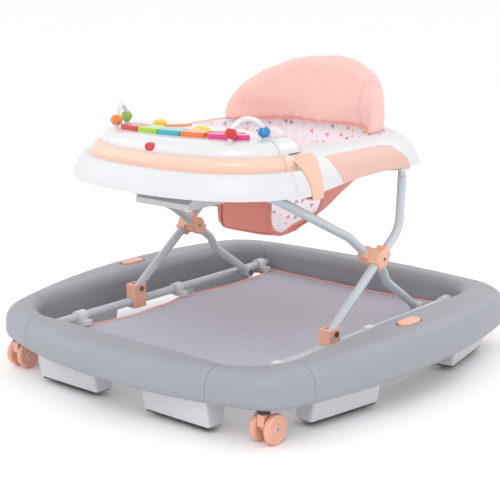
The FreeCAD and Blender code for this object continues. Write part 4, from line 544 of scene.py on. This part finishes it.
def make_stitch_tree():
    """Row of short stitches laid along a path."""
    tree, source, sink = new_group(
        "StitchRow", [("Path", "Geometry", None), ("Pitch", "Float", 0.004),
                      ("Length", "Float", 0.0028), ("Radius", "Float", 0.0004),
                      ("Thread", "Material", None)],
        [("Stitches", "Geometry")], "GeometryNodeTree")
    spaced = add(tree, "GeometryNodeResampleCurve", {"Curve": source["Path"], "Length": source["Pitch"]},
                 mode="LENGTH")
    tangent = add(tree, "GeometryNodeInputTangent")
    turn = add(tree, "FunctionNodeAlignRotationToVector", {"Vector": tangent.outputs[0]}, axis="Z")
    stitch = add(tree, "GeometryNodeMeshCylinder",
                 {"Radius": source["Radius"], "Depth": source["Length"], "Vertices": 6},
                 fill_type="TRIANGLE_FAN")
    laid = add(tree, "GeometryNodeInstanceOnPoints",
               {"Points": spaced.outputs[0], "Instance": stitch.outputs["Mesh"], "Rotation": turn.outputs[0]})
    return finish_tree(tree, sink, laid.outputs[0], source["Thread"])


sewn_cord = make_cord_tree()
stitch_row = make_stitch_tree()


def along_path(name, paths, tree, body, **sizes):
    """One piece of the peach fabric, made by a node tree along paths of (points, closed)."""
    curve = bpy.data.curves.new(name + "_path", "CURVE")
    curve.dimensions = "3D"
    for points, closed in paths:
        spline = curve.splines.new("POLY")
        spline.points.add(len(points) - 1)
        for point, place in zip(spline.points, points):
            point.co = (*place, 1)
        spline.use_cyclic_u = closed
    carrier = new_object(name + "_path", curve)
    modifier = modify(carrier, "Along", "NODES", node_group=tree)
    for item in tree.interface.items_tree:
        key = item.name.replace(" ", "_")
        if item.in_out == "INPUT" and key in sizes:
            modifier[item.identifier] = sizes[key]
    obj = new_object(name, evaluated_mesh(carrier))
    bpy.data.objects.remove(carrier)
    add_length_map(obj.data)
    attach(obj, body)
    return obj


def add_length_map(mesh):
    """Simple cloth map from position, for cords and stitches."""
    layer = mesh.uv_layers[0] if mesh.uv_layers else mesh.uv_layers.new(name="Cloth")
    for loop in mesh.loops:
        place = mesh.vertices[loop.vertex_index].co
        layer.data[loop.index].uv = (place.x + place.y, place.z + 0.5 * place.y)


def cord(name, paths, radius, material, body="tray"):
    """Sewn cords of one radius along paths of (points, closed)."""
    return along_path(name, paths, sewn_cord, body, Radius=radius, Sides=10, Cloth=material)


# ---- foot mat
def make_foot_mat():
    """Flat mat with scalloped long sides, stretched between six clips."""
    (x0, y0, _), (x1, y1, z1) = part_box("foot_mat")
    columns, rows = 48, 64
    scallop, sag, ripple, wall = 0.015, 0.0022, 0.0006, 0.0016
    cord_radius, cord_drop = 0.0023, 0.0006
    middle, quarter = (y0 + y1) / 2, (y1 - y0) / 4
    top = z1 - 0.0010
    vertices = []
    for j in range(rows + 1):
        y = y0 + (y1 - y0) * j / rows
        local = ((y - y0) % (2 * quarter)) / quarter - 1
        half_width = x1 - scallop * (1 - local * local)
        for i in range(columns + 1):
            side = 2 * i / columns - 1
            x = half_width * side
            dip = sag * (1 - side * side) * (0.6 + 0.4 * cos(pi * (y - middle) / quarter))
            pull = ripple * sin(38 * x + 9 * sin(11 * y)) * (side * side)
            vertices.append((x, y, top - dip + pull))
    uvs = [(x, y) for x, y, _ in vertices]
    mat = mesh_piece("mat_cloth", vertices, grid_faces(rows, columns), mat_cloth, uvs)
    modify(mat, "Wall", "SOLIDIFY", thickness=wall, offset=-1)
    bake_modifiers(mat)
    row = columns + 1
    edge = (vertices[:row] + vertices[row + columns::row] + vertices[rows * row:-1][::-1]
            + vertices[row:rows * row:row][::-1])
    path = [(x, y, z - cord_drop) for x, y, z in edge]
    piping = cord("mat_piping", [(path, True)], cord_radius, mat_piping, body="base")
    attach(mat, "base")
    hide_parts("foot_mat")


make_foot_mat()


# ---- seat sling
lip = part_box("tray_base")[0][2]
sling_low, sling_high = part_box("seat_sling")
gap = 0.0003
seat_half = sling_high[0] + gap
seat_front = sling_low[1] - gap
seat_rear = sling_high[1] + gap
seat_floor = sling_low[2]
# inset from the seat opening at the sides, front and rear, height and squareness, from the rim down
sling_insets = [(0.0008, 0.0008, 0.0008, sling_high[2], 2.6),
                (0.0015, 0.0015, 0.0015, lip + 0.012, 2.6),
                (0.036, 0.042, 0.072, seat_floor + 0.072, 3.0),
                (0.054, 0.0445, 0.110, seat_floor + 0.045, 3.4),
                (0.084, 0.0455, 0.130, seat_floor + 0.022, 4.0),
                (0.095, 0.0480, 0.138, seat_floor + 0.011, 4.0)]
sling_sections = [(seat_half - side, seat_front + front, seat_rear - rear, height, squareness)
                  for side, front, rear, height, squareness in sling_insets]
last_level = len(sling_sections) - 1
floor_level = last_level - 0.05
bag_middle_y = 0.03
# degrees round the bag at which one panel of cloth ends and the next begins
panel_seams = (38, 142, 200, 340, 398)


def sling_section(level):
    """Blend of the sections at a level between 0, the rim, and the seat floor."""
    low = min(int(level), last_level - 1)
    keys = around_span(sling_sections, low)
    if low <= 1:
        keys[0] = keys[1]
    if low == 0:
        return [b + (c - b) * level for b, c in zip(keys[1], keys[2])]
    return [through(*values, level - low) for values in zip(*keys)]


def sling_point(angle, level):
    """Point of the sling wall."""
    half_x, y_front, y_rear, z, squareness = sling_section(level)
    c, s = cos(angle), sin(angle)
    shape = 2 / squareness
    centre_y, half_y = (y_front + y_rear) / 2, (y_rear - y_front) / 2
    return Vector((half_x * power(c, shape), centre_y + half_y * power(s, shape), z))


def sling_ring(level, count=160):
    return [sling_point(tau * i / count, level) for i in range(count)]


def wall_distance(place):
    """Signed distance from the sling wall at a point's height, negative inside."""
    level = last_true(0.0, float(last_level), 16, lambda middle: sling_section(middle)[3] > place.z)
    half_x, y_front, y_rear, _, squareness = sling_section(level)
    centre_y, half_y = (y_rear + y_front) / 2, (y_rear - y_front) / 2
    reach = abs(place.x / half_x) ** squareness + abs((place.y - centre_y) / half_y) ** squareness
    return (reach ** (1 / squareness) - 1) * min(half_x, half_y)


def wall_normal(place):
    """Outward direction of the sling wall near a point."""
    reach = 0.002
    steps = [Vector((reach, 0, 0)), Vector((0, reach, 0)), Vector((0, 0, reach))]
    return Vector([wall_distance(place + step) - wall_distance(place - step) for step in steps]).normalized()


# sideways and height above the seat floor, round the opening for one leg
leg_outline = [(-0.032, 0.028), (-0.032, 0.060), (-0.031, 0.106), (0.004, 0.114), (0.034, 0.104),
               (0.040, 0.078), (0.0385, 0.058), (0.030, 0.040), (0.016, 0.0235), (-0.004, 0.0150),
               (-0.022, 0.0145)]


def leg_frame(sign):
    """Middle of the opening for one leg, on the seat floor, and its sideways and outward directions."""
    middle_x, middle_y, out_x, out_y = 0.080, -0.008, 0.57, -0.82
    return (Vector((sign * middle_x, middle_y, seat_floor)), Vector((sign * -out_y, out_x, 0)),
            Vector((sign * out_x, out_y, 0)))


def leg_opening_outline(sign, per_side=7):
    """Smooth closed outline of a leg opening in its own upright plane."""
    middle, sideways, _ = leg_frame(sign)
    path = []
    for k in range(len(leg_outline)):
        corners = [Vector(corner) for corner in around_span(leg_outline, k, closed=True)]
        for step in range(per_side):
            spot = through(*corners, step / per_side)
            path.append(middle + sideways * spot.x + Vector((0, 0, spot.y)))
    return path


def leg_opening_path(sign):
    """The same outline laid on the sling wall."""
    nearest, farthest, sunk = -0.05, 0.10, 0.0012
    outward = leg_frame(sign)[2]
    path = []
    for edge in leg_opening_outline(sign):
        reach = last_true(nearest, farthest, 14, lambda middle: wall_distance(edge + outward * middle) < 0)
        path.append(edge + outward * (reach - sunk))
    return path


def sling_surface():
    """Rings of points down the wall of the bag, with its slack folds and the gathers under its rim."""
    around, levels = 256, 96
    inset, slack_depth, gather_depth, gathers = 0.0008, 0.0014, 0.0008, 44
    random.seed(4)
    phases = [random.uniform(0, tau) for _ in range(3)]
    rings = []
    for j in range(levels + 1):
        level = last_level * j / levels
        slack = clamp(level - 0.9) * min(1.0, last_level - level)
        near_rim = max(0.0, 1 - abs(level - 0.8) * 1.4)
        ring = []
        for i in range(around):
            angle = tau * i / around
            place = sling_point(angle, level)
            inward = Vector((-place.x, bag_middle_y - place.y, 0)).normalized()
            fold = sum(sin(k * angle + phase + 1.3 * level) for k, phase in zip((5, 8, 11), phases)) / 3
            gather = sin(gathers * angle + 2 * sin(7 * angle)) * near_rim
            ring.append(place + inward * (inset + slack_depth * (1 + fold) * slack + gather_depth * gather))
        rings.append(ring)
    return rings


def cloth_lengths(rings):
    """Run round each ring and drop down each column, both measured along the cloth."""
    around = len(rings[0])
    drops = [0.0] * (around + 1)
    lengths = []
    for j, ring in enumerate(rings):
        run, row = 0.0, []
        for i in range(around + 1):
            if i:
                run += (ring[i % around] - ring[i - 1]).length
            if j:
                drops[i] += (ring[i % around] - rings[j - 1][i % around]).length
            row.append((run, -drops[i]))
        lengths.append(row)
    return lengths


def panel_place(row, column, middle):
    """Place on the cloth, measured from the middle of the panel that a face belongs to."""
    around = len(row) - 1
    turn = (column - middle + around // 2) % around - around // 2
    along = row[middle % around][0]
    here = row[column % around][0]
    if turn > 0 and here < along:
        here += row[around][0]
    if turn < 0 and here > along:
        here -= row[around][0]
    return here - along, row[column][1]


def make_sling():
    """Bag of two cloths, coral outside and printed inside, cut away for the legs."""
    wall, crease = 0.0022, radians(50)
    rings = sling_surface()
    lengths = cloth_lengths(rings)
    around, levels = len(rings[0]), len(rings) - 1
    seams = [round(around * degrees / 360) for degrees in panel_seams]
    shell = bmesh.new()
    cloth_map = shell.loops.layers.uv.new("Cloth")
    corners = [[shell.verts.new(place) for place in ring] for ring in rings]
    for j in range(levels):
        for i in range(around):
            after = (i + 1) % around
            turn = (i - seams[0]) % around + seams[0]
            middle = next((low + high) // 2 for low, high in zip(seams, seams[1:]) if low <= turn < high)
            upper, lower = corners[j], corners[j + 1]
            face = shell.faces.new((upper[i], lower[i], lower[after], upper[after]))
            for loop, (column, row) in zip(face.loops, ((i, j), (i, j + 1), (i + 1, j + 1), (i + 1, j))):
                loop[cloth_map].uv = panel_place(lengths[row], column, middle)
    base = shell.faces.new(corners[-1])
    for loop in base.loops:
        loop[cloth_map].uv = (loop.vert.co.x, loop.vert.co.y)
    bmesh.ops.recalc_face_normals(shell, faces=shell.faces[:])
    if base.normal.z > 0:
        bmesh.ops.reverse_faces(shell, faces=shell.faces[:])
    mesh = bpy.data.meshes.new("seat_cloth")
    shell.to_mesh(mesh)
    shell.free()
    mesh.materials.append(coral_cloth)
    mesh.materials.append(print_cloth)
    bag = new_object("seat_cloth", mesh)
    modify(bag, "Wall", "SOLIDIFY", thickness=wall, offset=-1, material_offset=1)
    bake_modifiers(bag)
    for sign in (1, -1):
        cut_leg_opening(bag, sign)
    bag.data.shade_smooth()
    bag.data.set_sharp_from_angle(angle=crease)
    return bag


def cut_leg_opening(bag, sign):
    """Cut one leg opening with a straight prism through the wall."""
    inner, outer = -0.028, 0.11
    outline, outward = leg_opening_outline(sign), leg_frame(sign)[2]
    ends = [place + outward * reach for reach in (inner, outer) for place in outline]
    cutter = mesh_piece("leg_cutter", ends, capped_tube(2, len(outline)), coral_cloth)
    face_outwards(cutter.data)
    modify(bag, "LegOpening", "BOOLEAN", operation="DIFFERENCE", solver="EXACT", object=cutter)
    bake_modifiers(bag)
    bpy.data.objects.remove(cutter)


def make_binding():
    """Folded tape sewn over the cut edge of both leg openings."""
    width, thickness, proud = 0.0072, 0.0034, 0.0004
    section = [(-0.16, 0.1), (-0.10, 0.5), (0.1, 0.62), (0.5, 0.55), (0.86, 0.5), (0.97, 0.3), (1.0, 0.0),
               (0.97, -0.3), (0.5, -0.4), (0.1, -0.5), (-0.10, -0.45)]
    vertices, uvs, faces = [], [], []
    for sign in (1, -1):
        path = leg_opening_path(sign)
        count = len(path)
        faces += tube_faces(len(vertices), count, len(section), closed=True)
        centre = sum(path, Vector()) / count
        run = 0.0
        for k, place in enumerate(path):
            along = (path[(k + 1) % count] - path[k - 1]).normalized()
            run += (place - path[k - 1]).length
            outward = wall_normal(place)
            across = outward.cross(along).normalized()
            if across.dot(place - centre) < 0:
                across.negate()
            pucker = 0.0004 * sin(run * 900) + 0.0003 * sin(run * 410 + sign)
            for u, v in section:
                vertices.append(place + across * (u * width) + outward * (v * thickness + pucker + proud))
                uvs.append((run, u * width + v * thickness))
    tape = mesh_piece("leg_binding", vertices, faces, piping_cloth, uvs)
    face_outwards(tape.data)
    modify(tape, "Finer", "SUBSURF", levels=1, render_levels=1)
    bake_modifiers(tape)
    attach(tape, "tray")
    return tape


def sling_seam(angle, first, last, steps=40):
    """Open path down the sling wall, just proud of the cloth."""
    proud = 0.0002
    path = []
    for step in range(steps + 1):
        place = sling_point(angle, first + (last - first) * step / steps)
        path.append(place + Vector((place.x, place.y - bag_middle_y, 0)).normalized() * proud)
    return path


def rim_line(outward, upward):
    """Line round the seat opening, a little outside and above the edge of the sling."""
    middle_y = (seat_front + seat_rear) / 2
    return [place + Vector((place.x, place.y - middle_y, 0)).normalized() * outward + Vector((0, 0, upward))
            for place in sling_ring(0.0)]


sling = make_sling()
leg_binding = make_binding()
rim_piping = cord("rim_piping", [(rim_line(0.0010, 0.0004), True), (rim_line(0.0034, -0.0010), True)], 0.0016,
                  rim_cloth)
sling_piping = cord("sling_piping", [(sling_ring(floor_level), True)], 0.0015, piping_cloth)
seam_cords = cord("sling_seams", [(sling_seam(radians(degrees), 1.0, floor_level), False)
                                  for degrees in panel_seams[:2]], 0.0022, piping_cloth)
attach(sling, "tray")
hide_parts("seat_sling")


# ---- backrest
back_low_corner, back_high_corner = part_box("backrest")
back_floor = back_low_corner[2]
back_wall = 0.020
back_half = back_high_corner[0] - back_wall / 2
back_depth = 0.092 - back_wall / 2
back_rise, back_lean, back_ends, plan_power = 0.100, 0.19, 0.095, 1.55
# distance behind the pad's ends and share of its rise
rise_keys = [(-0.006, -0.2), (0.0, 0.05), (0.003, 0.17), (0.008, 0.31), (0.014, 0.44), (0.022, 0.56),
             (0.031, 0.67), (0.040, 0.77), (0.049, 0.855), (0.057, 0.92), (0.064, 0.97), (0.072, 1.01),
             (0.080, 1.025), (0.100, 1.03)]
tuck = 0.010
foot_power, foot_inset, foot_rise = 2.6, 0.0092, 0.034
foot_centre, foot_length = (seat_rear + seat_front) / 2, (seat_rear - seat_front) / 2
foot_first = asin(((back_ends - foot_centre) / foot_length) ** (foot_power / 2))
foot_span = pi - 2 * foot_first


def rise_share(reach):
    """How high the pad stands, as a share of its rise, at a distance behind its ends."""
    if reach <= rise_keys[0][0]:
        return rise_keys[0][1]
    for k in range(len(rise_keys) - 1):
        (x0, y0), (x1, y1), (x2, y2), (x3, y3) = around_span(rise_keys, k)
        if reach <= x2:
            slope1, slope2 = (y2 - y0) / (x2 - x0), (y3 - y1) / (x3 - x1)
            span, t = x2 - x1, (reach - x1) / (x2 - x1)
            return ((2 * t ** 3 - 3 * t * t + 1) * y1 + (t ** 3 - 2 * t * t + t) * span * slope1
                    + (3 * t * t - 2 * t ** 3) * y2 + (t ** 3 - t * t) * span * slope2)
    return rise_keys[-1][1]


def above_foot(height):
    """0 at the foot, which follows the seat opening, to 1 where the crown's own curve begins."""
    share = clamp((height + 0.002) / foot_rise)
    return share * share * (3 - 2 * share)


def back_place(turn, across, height):
    """Point of the pad: turn 0 to pi goes round from +X to -X, across runs from in to out."""
    c, s = cos(turn), sin(turn)
    z = back_floor + height
    crown = Vector(((back_half + across) * power(c, 2 / plan_power),
                    back_ends + (back_depth + across) * abs(s) ** (2 / plan_power) + back_lean * height, z))
    angle = foot_first + turn * foot_span / pi
    inset = foot_inset - across
    foot = Vector(((seat_half - inset) * power(cos(angle), 2 / foot_power),
                   foot_centre + (foot_length - inset) * power(sin(angle), 2 / foot_power), z))
    return foot.lerp(crown, above_foot(height))


def pad_height(turn):
    """Top of the pad at one place round it."""
    return back_rise * rise_share(back_depth * abs(sin(turn)) ** (2 / plan_power))


def curve_coordinates(x, y, exponent):
    """Angle round a rounded curve of unit size and how far outside it a point is, as a share."""
    y = max(1e-6, y)
    size = (abs(x) ** exponent + y ** exponent) ** (1 / exponent)
    return atan2((y / size) ** (exponent / 2), power(x / size, exponent / 2)), size - 1


def back_coordinates(place):
    """Turn round the pad and how far out from its middle a point is."""
    foot_scale, crown_scale = 0.13, 0.09
    height = place.z - back_floor
    behind = place.y - back_ends - back_lean * height
    turn, out = curve_coordinates(place.x / back_half, behind / back_depth, plan_power)
    angle, foot_out = curve_coordinates(place.x / (seat_half - foot_inset),
                                        (place.y - foot_centre) / (foot_length - foot_inset), foot_power)
    foot_turn = (angle - foot_first) * pi / foot_span
    share = above_foot(height)
    return (foot_turn + (turn - foot_turn) * share,
            foot_out * foot_scale + (out * crown_scale - foot_out * foot_scale) * share)


def relax_as_cloth(obj, voxel, pressure, reach, frames=20):
    """Remesh a closed form, let it swell as pressed cloth, and cap how far it moved."""
    modify(obj, "Even", "REMESH", mode="VOXEL", voxel_size=voxel)
    bake_modifiers(obj)
    start = [vertex.co.copy() for vertex in obj.data.vertices]
    cover = obj.modifiers.new("Cover", "CLOTH")
    set_all(cover.settings, quality=6, mass=0.3, use_pressure=True, uniform_pressure_force=pressure,
            tension_stiffness=15, compression_stiffness=8, bending_stiffness=0.6)
    cover.settings.effector_weights.gravity = 0
    cover.point_cache.frame_start, cover.point_cache.frame_end = 1, frames
    for number in range(1, frames + 1):
        scene.frame_set(number)
    bake_modifiers(obj)
    scene.frame_set(1)
    for vertex, place in zip(obj.data.vertices, start):
        move = vertex.co - place
        if move.length > reach:
            vertex.co = place + move * (reach / move.length)


def pad_form():
    """Horseshoe of rings before its cloth relaxes."""
    steps, ring = 110, 36
    half_thickness, bulge, foot_tuck = 0.0085, 0.0035, 0.0045
    first = 0.0
    while pad_height(first) < 0.003:
        first += 0.005
    vertices = []
    for i in range(steps + 1):
        turn = first + (pi - 2 * first) * i / steps
        tall = max(0.006, pad_height(turn) + 0.004)
        low = -tuck * clamp((tall - 0.01) / 0.03)
        thick = min(half_thickness, 0.40 * tall)
        side = abs(cos(turn)) ** 1.5
        for k in range(ring):
            angle = tau * k / ring
            height = low + (tall - low) * (0.5 + 0.5 * power(sin(angle), 0.5))
            across = thick * power(cos(angle), 0.75)
            across += bulge * side * sin(pi * clamp(height / tall)) ** 0.7
            across -= foot_tuck * clamp((0.006 - height) / 0.010)
            vertices.append(back_place(turn, across, height))
    pad = mesh_piece("backrest_pad", vertices, capped_tube(steps + 1, ring), peach_cloth)
    face_outwards(pad.data)
    return pad


def smooth_mesh(mesh, rounds):
    def smooth(shell):
        for _ in range(rounds):
            bmesh.ops.smooth_vert(shell, verts=shell.verts[:], factor=0.5, use_axis_x=True, use_axis_y=True,
                                  use_axis_z=True)

    edit_mesh(mesh, smooth)
    mesh.update()


def sewn_relief(turn, out, height):
    """How far the seams, puckers and folds lift the pad's cloth."""
    upper_seam, seam_sweep, seam_top, seam_width, turn_radius = 0.52, 0.40, 0.1, 0.0032, 0.12
    pucker_depth, pucker_reach, fold_depth = 0.0013, 0.016, 0.0005
    welt_depth, welt_out, welt_width = 0.0016, 0.004, 0.0022
    seam_at = upper_seam + seam_sweep * max(0.0, 1 - height / seam_top) ** 1.3
    move = 0.0
    for side, deep in ((seam_at, 0.0030), (pi - seam_at, 0.0009)):
        if out < 0:
            move -= deep * exp(-((turn - side) * turn_radius / seam_width) ** 2)
    puckers = sin(62 * turn + 3 * sin(9 * turn)) * exp(-(height + tuck) / pucker_reach)
    move += pucker_depth * puckers * (1 if out < 0 else 0.25)
    move += fold_depth * sin(6 * turn + 25 * height) * sin(3 * turn + 1.0)
    if height > 0.7 * max(0.01, pad_height(turn)):
        move -= welt_depth * exp(-((out - welt_out) / welt_width) ** 2)
    return move


def make_backrest():
    """Crowned horseshoe pad that stands on the rear of the tray ring."""
    outer_face, floor_gap, map_radius = -0.004, 0.0004, 0.14
    pad = pad_form()
    relax_as_cloth(pad, voxel=0.0045, pressure=4.0, reach=0.006)
    modify(pad, "Finer", "SUBSURF", levels=1, render_levels=1)
    bake_modifiers(pad)
    mesh = pad.data
    smooth_mesh(mesh, rounds=20)
    normals = [vertex.normal.copy() for vertex in mesh.vertices]
    for vertex, normal in zip(mesh.vertices, normals):
        turn, out = back_coordinates(vertex.co)
        vertex.co += normal * sewn_relief(turn, out, vertex.co.z - back_floor)
        if out > outer_face:
            vertex.co.z = max(vertex.co.z, back_floor + floor_gap)
    mesh.shade_smooth()
    layer = mesh.uv_layers.new(name="Cloth")
    for loop in mesh.loops:
        place = mesh.vertices[loop.vertex_index].co
        turn, out = back_coordinates(place)
        layer.data[loop.index].uv = (turn * map_radius, place.z + out)
    mesh.update()
    return pad


def back_seam_path(steps=140):
    """Line of the seam cord along the inside foot of the pad."""
    first, inside, lift = 0.10, -0.0106, 0.0012
    turns = [first + (pi - 2 * first) * step / steps for step in range(steps + 1)]
    return [back_place(turn, inside + 0.0004 * sin(62 * turn), lift + 0.0007 * sin(41 * turn))
            for turn in turns]


pad = make_backrest()
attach(pad, "tray")
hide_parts("backrest")
cord("backrest_seam", [(back_seam_path(), False)], 0.0014, piping_cloth)


# ---- straps over the tray
(_, strap_y0, _), (strap_x, strap_y1, _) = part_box("tray_straps")
strap_thickness, strap_columns = 0.0018, 10
# at its top a strap spreads by its flare to the rear, and by flare_spread times that in all
strap_flare, flare_spread = 0.020, 1.3
strap_width = strap_y1 - strap_y0 + 0.004
# inset from the tray's outer side and height above its lip, from the hook under the lip upwards
strap_keys = [(0.0135, -0.0055), (0.006, -0.0062), (0.0, -0.0065), (0.0, 0.0), (0.003, 0.01275),
              (0.009, 0.02448), (0.017, 0.03468), (0.027, 0.04284), (0.038, 0.04845)]
straight_spans = 3


def strap_curve(per_span=6):
    """Side view of a strap: straight round the hook, then smooth over the tray's shoulder."""
    keys = [Vector((strap_x - strap_thickness / 2 - inset, lip + height)) for inset, height in strap_keys]
    curve = []
    for k in range(len(keys) - 1):
        before, a, b, after = around_span(keys, k)
        for t in [step / per_span for step in range(per_span)]:
            curve.append(a + (b - a) * t if k < straight_spans else through(before, a, b, after, t))
    return curve + [keys[-1]]


def make_strap(curve, sign, label):
    """One strap, its length and the two rows along which it is stitched."""
    crown, stitch_inset, first_stitched = 0.0004, 0.0025, 14
    vertices, uvs = [], []
    run = 0.0
    for k, place in enumerate(curve):
        run += (place - curve[k - 1]).length if k else 0.0
        share = k / (len(curve) - 1)
        flare = strap_flare * clamp((share - 0.3) / 0.6) ** 2
        for i in range(strap_columns + 1):
            across = i / strap_columns
            y = strap_y0 - 0.002 - (flare_spread - 1) * flare + (strap_width + flare_spread * flare) * across
            lift = crown * sin(pi * across) * sin(pi * share)
            vertices.append((sign * (place.x + lift), y, place.y + lift))
            uvs.append((y, run))
    quads = grid_faces(len(curve) - 1, strap_columns)
    faces = quads if sign < 0 else [quad[::-1] for quad in quads]
    strap = mesh_piece("tray_strap_" + label, vertices, faces, strap_cloth, uvs)
    modify(strap, "Wall", "SOLIDIFY", thickness=strap_thickness - 0.0002, offset=0)
    modify(strap, "Edge", "BEVEL", width=0.0004, segments=2, limit_method="ANGLE")
    bake_modifiers(strap)
    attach(strap, "tray")
    rows = [[(sign * (place.x + 0.0010), y, place.y + 0.0008) for place in curve[first_stitched:]]
            for y in (strap_y0 + stitch_inset, strap_y1 - stitch_inset)]
    return strap, run, rows


def make_straps():
    """Webbing straps from the seat opening over the tray to a hook under its lip."""
    curve = strap_curve()
    straps = [make_strap(curve, sign, label) for sign, label in ((1, "right"), (-1, "left"))]
    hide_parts("tray_straps")
    along_path("strap_stitches", [(row, False) for _, _, rows in straps for row in rows], stitch_row, "tray",
               Pitch=0.0036, Length=0.0026, Radius=0.00035, Thread=thread)


make_straps()


# ---- floor, light and camera
def add_light(name, place, aim_height, size, watts):
    """Round soft lamp that looks at a point above the origin."""
    lamp = bpy.data.lights.new(name, "AREA")
    set_all(lamp, shape="DISK", size=size, energy=watts)
    way = Vector((0, 0, aim_height)) - Vector(place)
    set_all(new_object(name, lamp), location=place, rotation_euler=way.to_track_quat("-Z", "Y").to_euler())


scene.view_settings.view_transform = "Standard"
bpy.ops.mesh.primitive_plane_add(size=60)
floor = bpy.context.object
set_all(floor, name="studio_floor", location=(0, 0, -0.0005))
floor_paint, floor_tree, floor_shader = start_material("StudioFloor", Roughness=0.8)
faint = noise(floor_tree, object_place(floor_tree), 1.2)
tone = blend_colour(floor_tree, faint, (0.975, 0.975, 0.98, 1), (0.985, 0.985, 0.985, 1))
floor_tree.links.new(tone, floor_shader["Base Color"])
floor.data.materials.append(floor_paint)
for lamp in (("key", (1.2, -2.2, 2.6), 0.2, 2.0, 23), ("fill", (-2.6, -1.4, 1.7), 0.2, 2.6, 10),
             ("rim", (0.6, 2.6, 2.2), 0.25, 1.8, 9), ("side", (2.8, 0.8, 1.4), 0.2, 1.6, 4)):
    add_light(*lamp)
world = bpy.data.worlds.new("Studio")
scene.world = world
world.use_nodes = True
sky = world.node_tree.nodes["Background"].inputs
sky["Color"].default_value = (1, 1, 1, 1)
sky["Strength"].default_value = 1.01

camera_data = bpy.data.cameras.new("studio_camera")
set_all(camera_data, lens=91.09, sensor_width=36)
camera = new_object("studio_camera", camera_data)
set_all(camera, location=(1.184715, -1.424941, 0.609274),
        rotation_euler=(radians(90 - 13.4057), 0, radians(39.939)))
scene.camera = camera
